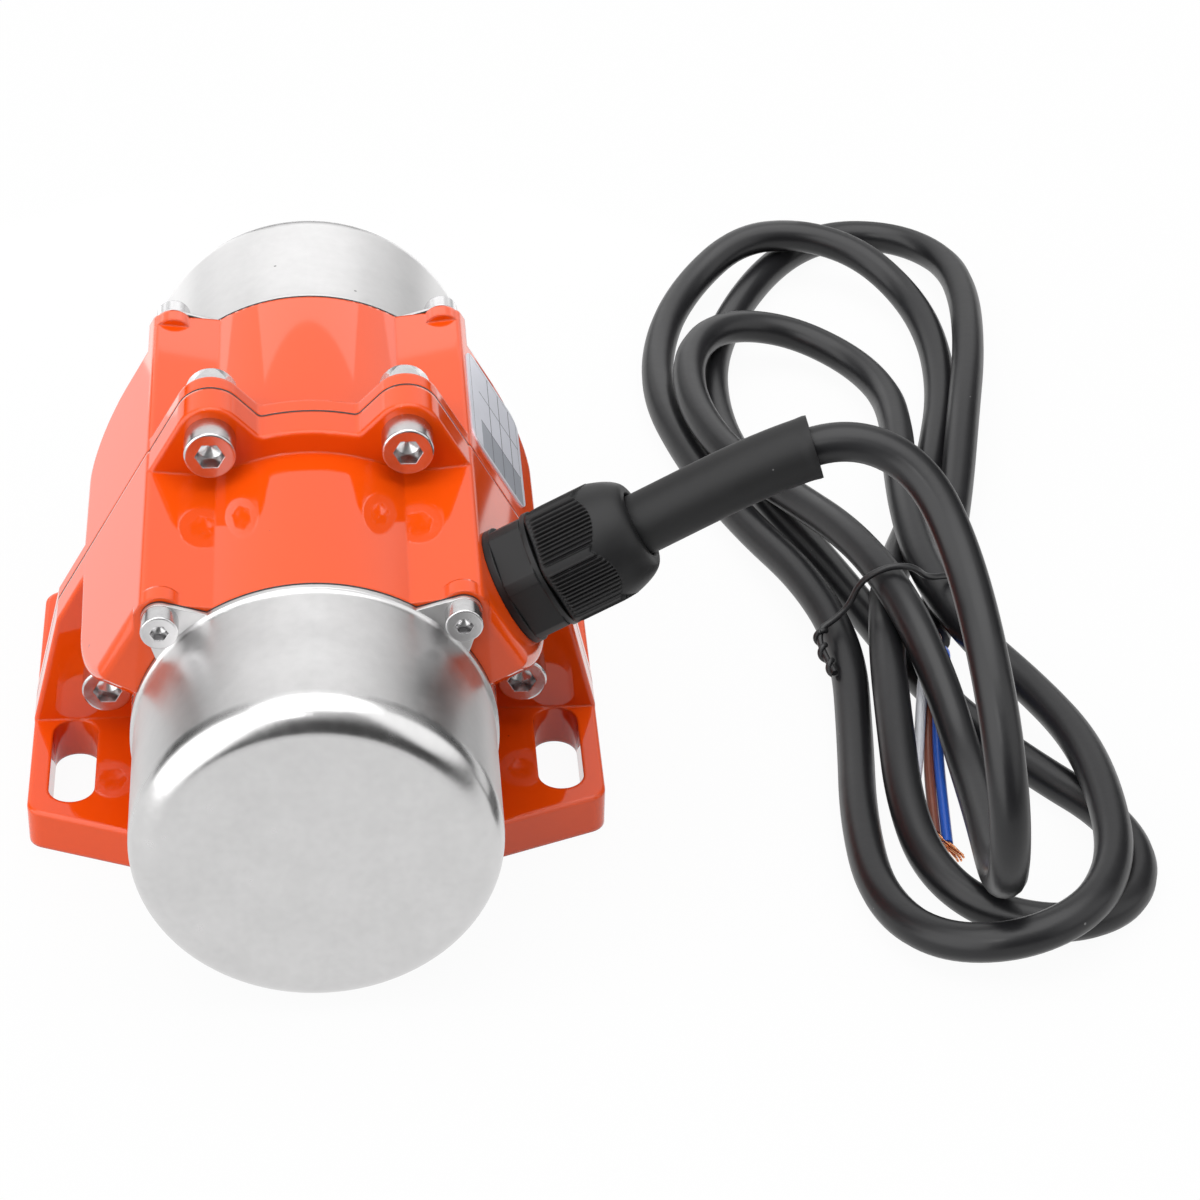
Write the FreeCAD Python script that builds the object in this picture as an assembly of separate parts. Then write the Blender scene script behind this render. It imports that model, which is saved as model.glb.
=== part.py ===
"""Vibration motor: a small electric motor with eccentric weights on both ends of its shaft.

The frame: +X is to the right, +Y along the shaft away from the front cap, +Z up. The origin lies on the
foot plane below the middle of the motor. All lengths are in millimetres.
"""

import FreeCAD, Part
import math
import os

V = FreeCAD.Vector

# Caps and their screws
CAP_R = 34.0
CAP_WALL = 1.0
CAP_DEPTH = 37.8         # cap flange to the outer face
CAP_EDGE_R = 6.0
CAP_LIP = 0.6            # the cap's round flange beyond its side
CAP_FLANGE_T = 0.9
CAP_FILLET_R = 1.2
CAP_GASKET = 0.5
EAR_OUT = 5.315          # cap screws outside the cap's side
EAR_R = 3.5
EAR_HALF_ANGLE = 28.0
M4_R = 2.0
M4_HEAD_R = 3.5
M4_HEAD_H = 4.0
M4_SOCKET_AF = 3.0
M4_GRIP = 10.0           # length of thread in the housing
BOSS_R = 5.4
BOSS_L = 20.0
TOP_BOSS_R = 4.2
TOP_BOSS_L = 4.0
CAP_FLANGE_R = CAP_R + CAP_LIP
EAR_PITCH = (CAP_R + EAR_OUT) / math.sqrt(2)

# Housing
AXIS_Z = 36.4            # height of the shaft above the foot plane
BODY_HALF = 52.5         # parting plane to the face that carries a cap
JOINT_GASKET = 0.5       # gasket between the two halves
FLANGE_FRONT = 7.8       # flange thickness, front half
FLANGE_REAR = 4.7        # flange thickness, rear half
BARREL_R = CAP_FLANGE_R
BARREL_WALL = 2.6
BORE_R = BARREL_R - BARREL_WALL
SHOULDER_OVER = 3.1      # flat top of a shoulder above its cap screw
SHOULDER_IN = 10.3       # inner edge of a shoulder inside its cap screw
SHOULDER_EDGE_R = 1.6
SHOULDER_DIP = 1.5         # fall of a shoulder's top towards the barrel
SLOPE_DEG = 60.5         # lean of the two side faces from the horizontal
SLOPE_WALL = 4.53        # side face to the middle of the upper cap screw
SLOPE_FOOT_UP = 4.8      # lower edge of a side face above the shaft
POD_DEPTH = 18.0         # how far a side pod runs in towards the barrel
POD_EDGE_R = 2.4
POD_REAR_IN = 8.4         # rear half's pods end before its cap's face
POD_REAR_CORNER_R = 17.0
KNEE_OUT = 4.8           # where the flange's edge leaves the line of the side face
KNEE_DOWN = 8.5
SADDLE_OVER = 4.6        # top of the flange between its lugs, above the barrel
VALLEY_R = 1.5           # rounding where the saddle meets a lug
EDGE_R = 0.8             # rounding of the casting's outer edges

# Feet
FOOT_OUT = 5.9           # foot's outer edge beyond the knee
FOOT_T = 8.6
FOOT_CORNER_IN = 15.2    # outer corner of a foot behind the cap's face
FOOT_CORNER_R = 4.0
FOOT_KINK_IN = 7.5
FOOT_KINK_FROM_EDGE = 19.7
FOOT_NOSE_X = 17.5
RELIEF_X = 34.0          # half width of the relieved middle of the base
RELIEF_T = 1.2
SLOT_EDGE = 8.5          # middle of a slot to the foot's outer edge
SLOT_Y = 21.6
SLOT_W = 9.0
SLOT_L = 27.0

# End webs and bearings
WEB_T = 6.0
BEARING_OD = 35.0
BEARING_BORE = 15.0
BEARING_W = 11.0
BEARING_WALL = 5.5       # wall of the bearing seat
BEARING_LIP_R = 14.0
BEARING_LIP_T = 3.0
BALL_R = 2.85
BALL_COUNT = 8
BALL_PITCH_R = 12.5
GROOVE_R = 3.1
RING_T = 3.2
CAGE_T = 1.6
CAGE_W = 5.2

# Bolts of the parting flange
M6_R = 3.0
M6_HEAD_R = 5.0
M6_HEAD_H = 6.0
M6_SOCKET_AF = 5.0
M6_NUT_AF = 10.0
M6_NUT_H = 6.0
M6_COLLAR_H = 1.2
M6_TAIL = 8.0            # shank beyond the rear flange
M6_LUG_R = 7.0
TOP_BOLT_X = 18.9
TOP_BOLT_UP = 6.9        # upper bolts above the shoulders
LOW_BOLT_IN = 9.5        # lower bolts inside the knee
LOW_BOLT_UP = 11.0       # and above the foot
BOLT_CLEARANCE = 0.1

# Stator and rotor
STACK_HALF = 20.0
STATOR_FIT = 0.05
STATOR_IN_R = 17.6
SLOT_COUNT = 12
SLOT_TIP_T = 1.2
YOKE_T = 4.95            # stack outside the slots
SLOT_HALF_ANGLE = 8.0
MOUTH_HALF_ANGLE = 3.0
COIL_OVERHANG = 11.0
COIL_HEAD_OUT = 2.0      # end turns outside the slots
COIL_CLEARANCE = 0.3
ROTOR_GAP = 0.4
CAGE_BARS = 16
CAGE_BAR_R = 1.3
CAGE_BAR_DEPTH = 2.2     # bar centres below the rotor's surface
CAGE_RING_T = 4.0

# Shaft and weights
SHAFT_R = 8.0
SHAFT_END_R = 7.0
SHAFT_TAIL = 5.5         # shaft beyond the retaining ring's groove
SHAFT_CHAMFER = 0.8
RUNNING_FIT = 0.05
WEIGHT_INSIDE = 5.5      # weights to the cap's outer side
WEIGHT_HUB_R = 12.0
WEIGHT_T = 12.5
WEIGHT_IN = 1.5          # first weight beyond the housing's end
WEIGHT_GAP = 0.5
KEY_W = 5.0
KEY_H = 5.0
CLAMP_SLIT = 2.0
CLAMP_EAR_X = 8.5
CLAMP_EAR_TOP = 15.6
CLAMP_SCREW_Z = 11.6
CLIP_T = 1.0
CLIP_DEPTH = 0.8
CLIP_R = 9.4
CLIP_GAP = 5.0

# Cable gland on the front half
GLAND_IN = 19.5          # gland behind the front cap's face
GLAND_DOWN = 13.4        # gland centre below the upper edge of the side face, along that face
GLAND_THREAD_R = 8.0
GLAND_THREAD_L = 8.5
GLAND_WASHER_R = 11.7
GLAND_WASHER_T = 1.5
GLAND_AF = 22.0
GLAND_HEX_T = 6.5
GLAND_COLLAR_R = 11.6
GLAND_COLLAR_T = 1.0
GLAND_SPIGOT_R = 9.2
GLAND_SPIGOT_L = 8.5
GLAND_BORE_R = 6.3
NUT_R = 12.0
NUT_AF = 22.6
NUT_STRAIGHT = 10.2
NUT_DOME = 8.3
NUT_MOUTH_R = 6.3
SEAL_L = 7.5

# Cable
CABLE_R = 3.8
SLEEVE_R = 6.1
SLEEVE_FIT = 0.05
SLEEVE_START = 16.0      # along the gland's axis, inside its spigot
SLEEVE_END = 64.5
CORE_R = 1.1
CORE_PITCH = 1.6
CORE_LEAD = 2.5
TIP_R = 0.8
TIP_L = 5.0
TIE_R = 0.7
FLOOR = CABLE_R + 0.1    # height of a strand's centre where it lies on the floor

# Rating plate on the rear half
PLATE_Y0 = 5.2
PLATE_L = 34.3
PLATE_DOWN = 1.5
PLATE_H = 21.8
PLATE_T = 0.3
PLATE_CORNER_R = 4.0

# Values that follow
SLOPE = math.radians(SLOPE_DEG)
OUT = V(math.sin(SLOPE), 0, math.cos(SLOPE))
DOWN = V(math.cos(SLOPE), 0, -math.sin(SLOPE))
SLOPE_FAR = EAR_PITCH * (OUT.x + OUT.z) + SLOPE_WALL
SHOULDER_Z = AXIS_Z + EAR_PITCH + SHOULDER_OVER
SHOULDER_IN_X = EAR_PITCH - SHOULDER_IN
SLOPE_FOOT_Z = AXIS_Z + SLOPE_FOOT_UP
SLOPE_FOOT_X = (SLOPE_FAR - SLOPE_FOOT_UP * OUT.z) / OUT.x
KNEE_X = SLOPE_FOOT_X + KNEE_OUT
KNEE_Z = SLOPE_FOOT_Z - KNEE_DOWN
SADDLE_R = BARREL_R + SADDLE_OVER
FOOT_X = KNEE_X + FOOT_OUT
FOOT_CORNER_Y = BODY_HALF - FOOT_CORNER_IN
FOOT_KINK_X = FOOT_X - FOOT_KINK_FROM_EDGE
FOOT_KINK_Y = BODY_HALF - FOOT_KINK_IN
SLOT_X = FOOT_X - SLOT_EDGE
TOP_BOLT_Z = SHOULDER_Z + TOP_BOLT_UP
LOW_BOLT_X = KNEE_X - LOW_BOLT_IN
LOW_BOLT_Z = FOOT_T + LOW_BOLT_UP
GLAND_Y = GLAND_IN - BODY_HALF
SLOT_OUT_R = BORE_R - STATOR_FIT - YOKE_T
WEIGHT_R = CAP_R - WEIGHT_INSIDE
WEIGHT_START_Y = BODY_HALF + WEIGHT_IN
SLOPE_LENGTH = (SHOULDER_Z - SLOPE_FOOT_Z) / math.sin(SLOPE)
SLOPE_TOP = V(SLOPE_FOOT_X - SLOPE_LENGTH * math.cos(SLOPE), 0, SHOULDER_Z)
GLAND_BASE = SLOPE_TOP + DOWN * GLAND_DOWN + V(0, GLAND_Y, 0)
BEARING_Y1 = BODY_HALF - BEARING_LIP_T
BEARING_Y0 = BEARING_Y1 - BEARING_W
CAP_Y0 = BODY_HALF + CAP_GASKET
CAP_Y1 = CAP_Y0 + CAP_DEPTH
ADJUST_Y0 = WEIGHT_START_Y + WEIGHT_T + WEIGHT_GAP
ADJUST_Y1 = ADJUST_Y0 + WEIGHT_T
CLIP_Y0 = ADJUST_Y1 + WEIGHT_GAP
SHAFT_END_Y = CLIP_Y0 + SHAFT_TAIL
ROTOR_R = STATOR_IN_R - ROTOR_GAP
Y_AXIS = V(0, 1, 0)
CORNERS = [(1, 1), (1, -1), (-1, -1), (-1, 1)]

# The cable's route, from inside the front half to the end of its jacket
CABLE_POINTS = [
    (32.61, -33, 52.68), (63.94, -33, 70.41), (86, -33, 83),
    (101, -32.5, 88), (114, -37.5, 83.5), (120.5, -51, 73), (123.5, -74, 60.5),
    (125.5, -88, 44), (127.5, -86.5, 24.5), (129, -71.5, 12),
    (130, -50, 9), (130, -28, 7), (127.5, -9, 13), (122, 11, 20.3), (115, 36, 19.5), (104, 64, 13),
    (93, 81.5, 12), (87, 103, 12), (88, 125, 12), (97, 139, 12), (113, 143, 8.5),
    (127.5, 134, 5.5), (134.5, 117.5, 5.5), (134, 97, 8),
    (131, 75, 12), (129.5, 51, 12.8), (131, 29, 12.5), (137.5, 10, 10.5), (147, -7, 9.5),
    (153, -26, 11), (154.5, -46, 12), (153, -66, 12), (145, -81.5, 12),
    (130, -87.5, 9.5), (115, -82, 6), (107, -66, 4), (106.5, -42, FLOOR), (109.5, -15, FLOOR),
    (111.5, 12, 6.5), (106, 36, 8), (95.5, 63, 5),
    (86, 92, FLOOR), (80.5, 121, FLOOR), (84, 149, FLOOR), (93, 169, 6.5), (106, 181.5, 11.5),
    (121, 183.5, 12), (135.5, 177.5, 10), (145.5, 164, 6),
    (149.5, 145, 4.5), (148.5, 120, FLOOR), (142.5, 94, FLOOR), (134.5, 67, FLOOR), (126, 45, 5),
    (121, 25, 12), (118, 3, 12.2), (116.5, -20, 10.5), (115.5, -42, 8), (118, -59, 5.5),
    (126.5, -71, 4), (141.5, -76.5, FLOOR), (155, -71, FLOOR), (160.5, -57.5, FLOOR),
    (156.5, -42, FLOOR), (145, -28, FLOOR), (131.5, -8, FLOOR), (121.5, 17, FLOOR),
    (112, 47.5, FLOOR), (101, 76, FLOOR), (93.5, 105, FLOOR), (94.5, 135, FLOOR),
    (103.5, 161, FLOOR), (116, 184, FLOOR), (130.5, 197, FLOOR), (147.5, 195.5, FLOOR),
    (158, 182, 5), (159.5, 160, 8), (156, 130, 10), (149.5, 99, 10),
    (143.5, 70, 6.5), (136.5, 43, FLOOR), (130.5, 18.5, FLOOR),
]

# The three cores beyond the jacket, each after its own start at the jacket's end
CORE_POINTS = {
    "core_white": [(128.3, 12.8, 6.3), (127.2, 7, 9.5), (124, -2, 9.3), (122.1, -8.5, 7.6), (120.7, -17, 3.7),
                   (119.4, -26, 1.6), (118, -34, 1.25)],
    "core_brown": [(130.2, 13.2, 9.2), (129.1, 5.5, 11.3), (126.4, -2, 10.1), (124.6, -8.5, 7.9), (123.2, -18, 4),
                   (121.9, -28, 1.7), (121, -44, 1.25)],
    "core_blue": [(131.7, 11.5, 6.6), (130.9, 5, 9.3), (128.9, -2, 9.6), (127, -8.5, 7.2), (126, -17, 3.6),
                  (125.2, -27, 1.6), (123.8, -47, 1.25)],
}
CORE_TURN = {"core_white": 330, "core_brown": 90, "core_blue": 210}

# The wire tie round the waist of the bundle
TIE_POINTS = [
    (137.5, 29, 8), (137, 28.5, 14.5), (132.5, 27.5, 18.6), (126.5, 24.5, 20.5), (121, 22, 25.5),
    (116, 20.5, 25.5), (111.5, 19, 21.5), (110, 18, 14.5), (106.5, 16.5, 13), (103.8, 16, 8),
    (104.3, 14, 2.8), (106.5, 8.5, 1.2),
]


def save(name, *solids):
    """Write one node, made of one or more separate solids."""
    shape = solids[0] if len(solids) == 1 else Part.makeCompound(list(solids))
    shape.exportStep(f"parts/{name}.step")


def front(shape):
    """The same piece at the front end, as the mirror image through the parting plane."""
    return shape.mirror(V(0, 0, 0), Y_AXIS)


def left(shape):
    """The same piece on the left side, as the mirror image through the middle plane."""
    return shape.mirror(V(0, 0, 0), V(1, 0, 0))


def rod(x, z, r, y0, y1):
    """A round bar parallel to the shaft."""
    return Part.makeCylinder(r, y1 - y0, V(x, y0, z), Y_AXIS)


def coaxial(r, y0, y1):
    return rod(0, AXIS_Z, r, y0, y1)


def ring(r_in, r_out, y0, y1):
    """A plain ring about the shaft's axis."""
    return coaxial(r_out, y0, y1).cut(coaxial(r_in, y0 - 1, y1 + 1))


def spun(profile):
    """A body turned about the shaft's axis from (radius, y) points."""
    wire = Part.makePolygon([V(0, y, AXIS_Z + r) for r, y in profile + profile[:1]])
    return Part.Face(wire).revolve(V(0, 0, AXIS_Z), Y_AXIS, 360)


def block(x0, y0, z0, x1, y1, z1):
    return Part.makeBox(x1 - x0, y1 - y0, z1 - z0, V(x0, y0, z0))


def prism(points, y0, y1):
    """A straight body with an outline of (x, z) points, between two planes across the shaft."""
    wire = Part.makePolygon([V(x, y0, z) for x, z in points + points[:1]])
    return Part.Face(wire).extrude(V(0, y1 - y0, 0))


def hexagon(across_flats, height):
    """A hexagonal bar standing on the origin."""
    r = across_flats / 2 / math.cos(math.pi / 6)
    points = [V(r * math.cos(k * math.pi / 3), r * math.sin(k * math.pi / 3), 0) for k in range(7)]
    return Part.Face(Part.makePolygon(points)).extrude(V(0, 0, height))


def along(shape, base, direction):
    """Turn a piece that stands on the origin along +Z so that it stands on base along direction."""
    out = shape.copy()
    out.Placement = FreeCAD.Placement(base, FreeCAD.Rotation(V(0, 0, 1), direction))
    return out


def edges_at(shape, wanted):
    """The edges whose every vertex meets a condition."""
    return [e for e in shape.Edges if all(wanted(v.Point) for v in e.Vertexes)]


def tangent_point(x, z, cx, cz, r, side):
    """Where a line from (x, z) touches the circle about (cx, cz), on its left (1) or right (-1) side."""
    dx, dz = cx - x, cz - z
    far = math.hypot(dx, dz)
    reach = math.sqrt(far * far - r * r)
    turn = math.atan2(dz, dx) + side * math.asin(r / far)
    return x + reach * math.cos(turn), z + reach * math.sin(turn)


def flange(thickness):
    """The parting flange: two lugs above, a saddle between them, and straight sides down to the feet."""
    saddle_x = TOP_BOLT_X / 2
    saddle_z = AXIS_Z + math.sqrt(SADDLE_R**2 - saddle_x**2)
    inner = tangent_point(saddle_x, saddle_z, TOP_BOLT_X, TOP_BOLT_Z, M6_LUG_R, 1)
    outer = tangent_point(SLOPE_FOOT_X, SLOPE_FOOT_Z, TOP_BOLT_X, TOP_BOLT_Z, M6_LUG_R, -1)
    y = JOINT_GASKET / 2

    def half(s):
        at = [V(s * px, y, pz) for px, pz in
              [(saddle_x, saddle_z), inner, (TOP_BOLT_X, TOP_BOLT_Z + M6_LUG_R), outer,
               (SLOPE_FOOT_X, SLOPE_FOOT_Z), (KNEE_X, KNEE_Z), (FOOT_X, FOOT_T), (FOOT_X, 0)]]
        return [Part.makeLine(at[0], at[1]), Part.Arc(at[1], at[2], at[3]).toShape(),
                *[Part.makeLine(at[k], at[k + 1]) for k in range(3, 7)]]

    saddle = Part.Arc(V(-saddle_x, y, saddle_z), V(0, y, AXIS_Z + SADDLE_R), V(saddle_x, y, saddle_z))
    base = Part.makeLine(V(-FOOT_X, y, 0), V(FOOT_X, y, 0))
    wire = Part.Wire(Part.__sortEdges__([saddle.toShape(), base, *half(1), *half(-1)]))
    body = Part.Face(wire).extrude(V(0, thickness - y, 0))
    valley = edges_at(body, lambda p: abs(abs(p.x) - saddle_x) < 1e-6 and p.z > AXIS_Z)
    body = body.makeFillet(VALLEY_R, [e for e in valley if e.BoundBox.XLength < 1e-3])
    outer_edges = edges_at(body, lambda p: abs(p.y - thickness) < 1e-6 and p.z > FOOT_T - 1e-6)
    return body.makeFillet(EDGE_R, outer_edges)


def pod(y1, corner):
    """The block behind a side face: its outline in that face, carried in at right angles to it. The corner
    is an arc through three points, each as a place along the motor and one down the face."""
    y0 = JOINT_GASKET / 2
    low = SLOPE_LENGTH

    def at(y, v):
        return SLOPE_TOP + DOWN * v + V(0, y, 0)

    turn = [at(y, v) for y, v in corner]
    wire = Part.Wire([
        Part.makeLine(at(y0, SHOULDER_EDGE_R), at(y0, low)),
        Part.makeLine(at(y0, low), turn[0]),
        Part.Arc(*turn).toShape(),
        Part.makeLine(turn[2], at(y1, SHOULDER_EDGE_R)),
        Part.makeLine(at(y1, SHOULDER_EDGE_R), at(y0, SHOULDER_EDGE_R)),
    ])
    body = Part.Face(wire).extrude(OUT * -POD_DEPTH)
    face = SLOPE_TOP.dot(OUT)
    corner_v = 0.5 * low

    def rounded(p):
        v = (p - SLOPE_TOP).dot(DOWN)
        return abs(p.dot(OUT) - face) < 1e-6 and (p.y > y1 - 1e-6 or v > corner_v)

    picked = [e for e in edges_at(body, rounded) if e.BoundBox.YMax > y0 + 1]
    return body.makeFillet(POD_EDGE_R, picked)


def front_pod():
    """The front half's pod reaches the cap's face, which cuts its corner short."""
    corner = [(0.5 * BODY_HALF, 0.955 * SLOPE_LENGTH), (0.77 * BODY_HALF, 0.865 * SLOPE_LENGTH),
              (BODY_HALF, 0.61 * SLOPE_LENGTH)]
    return pod(BODY_HALF, corner)


def rear_pod():
    """The rear half's pod ends short of the cap's face, with a quarter round corner."""
    y1 = BODY_HALF - POD_REAR_IN
    r = POD_REAR_CORNER_R
    cut = r * (1 - math.sqrt(0.5))
    return pod(y1, [(y1 - r, SLOPE_LENGTH), (y1 - cut, SLOPE_LENGTH - cut), (y1, SLOPE_LENGTH - r)])


def shoulder():
    """The long shoulder above a pod, with its edge rounded into the side face and its top falling inwards."""
    y0, y1 = JOINT_GASKET / 2, BODY_HALF
    top, r = SLOPE_TOP, SHOULDER_EDGE_R
    reach = r * math.tan(SLOPE / 2)
    a = V(top.x - reach, y0, SHOULDER_Z)
    b = top + DOWN * reach + V(0, y0, 0)
    centre = a - V(0, 0, r)
    half_way = V(math.sin(SLOPE / 2), 0, math.cos(SLOPE / 2))
    c = top + DOWN * (r + POD_EDGE_R / 2) + V(0, y0, 0)
    low_z = AXIS_Z + 0.5 * BARREL_R
    inner = V(SHOULDER_IN_X, y0, SHOULDER_Z - SHOULDER_DIP)
    wire = Part.Wire([
        Part.makeLine(V(SHOULDER_IN_X, y0, low_z), inner),
        Part.makeLine(inner, a),
        Part.Arc(a, centre + half_way * r, b).toShape(),
        Part.makeLine(b, c),
        Part.makeLine(c, V(c.x, y0, low_z)),
        Part.makeLine(V(c.x, y0, low_z), V(SHOULDER_IN_X, y0, low_z)),
    ])
    return Part.Face(wire).extrude(V(0, y1 - y0, 0))


def foot():
    """Half of the foot plate, under one half of the housing."""
    y0 = JOINT_GASKET / 2
    points = [(FOOT_X, y0), (FOOT_X, FOOT_CORNER_Y), (FOOT_KINK_X, FOOT_KINK_Y), (FOOT_NOSE_X, BODY_HALF)]
    outline = points + [(-x, y) for x, y in reversed(points)]
    wire = Part.makePolygon([V(x, y, 0) for x, y in outline + outline[:1]])
    plate = Part.Face(wire).extrude(V(0, 0, FOOT_T))
    upright = edges_at(plate, lambda p: abs(p.y - FOOT_CORNER_Y) < 1e-6)
    plate = plate.makeFillet(FOOT_CORNER_R, upright)
    rim = edges_at(plate, lambda p: p.z > FOOT_T - 1e-6 and p.y > y0 + 1e-6)
    return plate.makeFillet(EDGE_R, rim)


def slot(x, y):
    """The room of one mounting slot, which runs along the motor."""
    half = SLOT_L / 2 - SLOT_W / 2
    ends = [Part.makeCylinder(SLOT_W / 2, FOOT_T + 2, V(x, y + s * half, -1)) for s in (1, -1)]
    return block(x - SLOT_W / 2, y - half, -1, x + SLOT_W / 2, y + half, FOOT_T + 1).multiFuse(ends)


def cap_screw_places():
    return [(sx * EAR_PITCH, AXIS_Z + sz * EAR_PITCH) for sx, sz in CORNERS]


def flange_bolt_places():
    return [(-TOP_BOLT_X, TOP_BOLT_Z), (TOP_BOLT_X, TOP_BOLT_Z), (-LOW_BOLT_X, LOW_BOLT_Z), (LOW_BOLT_X, LOW_BOLT_Z)]


def housing(flange_t, side_pod):
    """One half of the housing, built on the +Y side."""
    y0 = JOINT_GASKET / 2
    web_y = BODY_HALF - WEB_T
    bosses = [rod(x, z, BOSS_R, BODY_HALF - BOSS_L, BODY_HALF) if z < AXIS_Z
              else rod(x, z, TOP_BOSS_R, BODY_HALF - TOP_BOSS_L, BODY_HALF) for x, z in cap_screw_places()]
    outside = coaxial(BARREL_R, y0, BODY_HALF).multiFuse(
        [flange(flange_t), side_pod, left(side_pod), shoulder(), left(shoulder()), foot(), *bosses])
    seat_r = BEARING_OD / 2
    seat = coaxial(seat_r + BEARING_WALL, BEARING_Y0, BODY_HALF)
    inside = coaxial(BORE_R, y0 - 1, web_y).cut(seat)
    holes = [
        inside,
        coaxial(seat_r, BEARING_Y0 - 1, BEARING_Y1),
        coaxial(BEARING_LIP_R, BEARING_Y1 - 1, BODY_HALF + 1),
        block(-RELIEF_X, y0 - 1, -1, RELIEF_X, BODY_HALF + 1, RELIEF_T),
        slot(SLOT_X, SLOT_Y),
        slot(-SLOT_X, SLOT_Y),
        *[rod(x, z, M6_R + BOLT_CLEARANCE, y0 - 1, flange_t + 1) for x, z in flange_bolt_places()],
        *[rod(x, z, M4_R + BOLT_CLEARANCE, BODY_HALF - M4_GRIP - 1, BODY_HALF + 1) for x, z in cap_screw_places()],
    ]
    return outside.cut(Part.makeCompound(holes)).removeSplitter()


def joint_gasket():
    """The thin gasket of the parting joint, cut to the flange's outline."""
    y = JOINT_GASKET
    sheet = flange(FLANGE_REAR).common(block(-2 * FOOT_X, y / 2, -1, 2 * FOOT_X, 1.5 * y, AXIS_Z + 2 * SADDLE_R))
    sheet.translate(V(0, -y, 0))
    bolts = [rod(x, z, M6_R + BOLT_CLEARANCE, -y, y) for x, z in flange_bolt_places()]
    relief = block(-RELIEF_X, -y, -1, RELIEF_X, y, RELIEF_T)
    return sheet.cut(Part.makeCompound([coaxial(BORE_R, -y, y), relief, *bolts]))


def ear(y0, y1):
    """A cap's ear on the +X, +Z diagonal: a wedge that narrows to the round about its screw."""
    far = EAR_PITCH * math.sqrt(2)
    lean = math.radians(EAR_HALF_ANGLE)
    tip_u = far + EAR_R * math.sin(lean)
    tip_w = EAR_R * math.cos(lean)
    root_u = 0.9 * CAP_FLANGE_R
    root_w = tip_w + (tip_u - root_u) * math.tan(lean)
    outline = [(root_u, -root_w), (tip_u, -tip_w), (tip_u, tip_w), (root_u, root_w)]
    c = math.sqrt(0.5)
    points = [(c * (u - w), AXIS_Z + c * (u + w)) for u, w in outline]
    return prism(points, y0, y1).fuse(rod(EAR_PITCH, AXIS_Z + EAR_PITCH, EAR_R, y0, y1))


def flange_ring(y0, y1, r_in):
    """A ring with four ears and their holes, between two planes across the shaft."""
    one = ear(y0, y1)
    middle = V(0, 0, AXIS_Z)
    ears = []
    for k in range(4):
        turned = one.copy()
        turned.rotate(middle, Y_AXIS, 90 * k)
        ears.append(turned)
    solid = coaxial(CAP_FLANGE_R, y0, y1).multiFuse(ears)
    holes = [rod(x, z, M4_R + BOLT_CLEARANCE, y0 - 1, y1 + 1) for x, z in cap_screw_places()]
    return solid.cut(Part.makeCompound([coaxial(r_in, y0 - 1, y1 + 1), *holes])).removeSplitter()


def cap():
    """A deep-drawn cap: straight side, rounded end and a thin flange with four ears."""
    inner = CAP_R - CAP_WALL
    r = CAP_EDGE_R
    f = CAP_FILLET_R
    y_face = CAP_Y0 + CAP_FLANGE_T

    def at(radius, y):
        return V(0, y, AXIS_Z + radius)

    def arc(cr, cy, rad, a0, a1):
        mid = (a0 + a1) / 2
        return Part.Arc(*[at(cr + rad * math.cos(math.radians(a)), cy + rad * math.sin(math.radians(a)))
                          for a in (a0, mid, a1)]).toShape()

    foot_r = CAP_R + f
    wire = Part.Wire([
        Part.makeLine(at(0, CAP_Y1), at(CAP_R - r, CAP_Y1)),
        arc(CAP_R - r, CAP_Y1 - r, r, 90, 0),
        Part.makeLine(at(CAP_R, CAP_Y1 - r), at(CAP_R, y_face + f)),
        arc(foot_r, y_face + f, f, 180, 270),
        Part.makeLine(at(foot_r, y_face), at(foot_r, CAP_Y0)),
        Part.makeLine(at(foot_r, CAP_Y0), at(inner, CAP_Y0)),
        Part.makeLine(at(inner, CAP_Y0), at(inner, CAP_Y1 - r)),
        arc(CAP_R - r, CAP_Y1 - r, r - CAP_WALL, 0, 90),
        Part.makeLine(at(CAP_R - r, CAP_Y1 - CAP_WALL), at(0, CAP_Y1 - CAP_WALL)),
        Part.makeLine(at(0, CAP_Y1 - CAP_WALL), at(0, CAP_Y1)),
    ])
    drawn = Part.Face(wire).revolve(V(0, 0, AXIS_Z), Y_AXIS, 360)
    trim = flange_ring(CAP_Y0, CAP_Y0 + CAP_FLANGE_T, 1).fuse(coaxial(CAP_FLANGE_R, CAP_Y0, CAP_Y1))
    plate = flange_ring(CAP_Y0, CAP_Y0 + CAP_FLANGE_T, inner)
    return drawn.common(trim).fuse(plate).removeSplitter()


def socket_screw(r, head_r, head_h, across_flats, shank):
    """A socket head screw: its seat is at the origin, with the head above it and the shank below."""
    edge = 0.08 * head_h
    head = Part.makeCylinder(head_r, head_h)
    head = head.makeFillet(edge, edges_at(head, lambda p: p.z > head_h - 1e-6))
    floor = 0.45 * head_h
    socket = hexagon(across_flats, head_h)
    socket.translate(V(0, 0, floor))
    drill = Part.makeCone(0, 0.49 * across_flats, 0.3 * across_flats, V(0, 0, floor - 0.3 * across_flats))
    stem = Part.makeCylinder(r, shank, V(0, 0, -shank))
    return head.fuse(stem).cut(socket.fuse(drill))


def cap_screws():
    one = socket_screw(M4_R, M4_HEAD_R, M4_HEAD_H, M4_SOCKET_AF, M4_GRIP + CAP_GASKET + CAP_FLANGE_T)
    return [along(one, V(x, CAP_Y0 + CAP_FLANGE_T, z), Y_AXIS) for x, z in cap_screw_places()]


def flange_bolts(places):
    shank = FLANGE_FRONT + FLANGE_REAR + M6_TAIL
    one = socket_screw(M6_R, M6_HEAD_R, M6_HEAD_H, M6_SOCKET_AF, shank)
    return [along(one, V(x, -FLANGE_FRONT, z), -Y_AXIS) for x, z in places]


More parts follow.
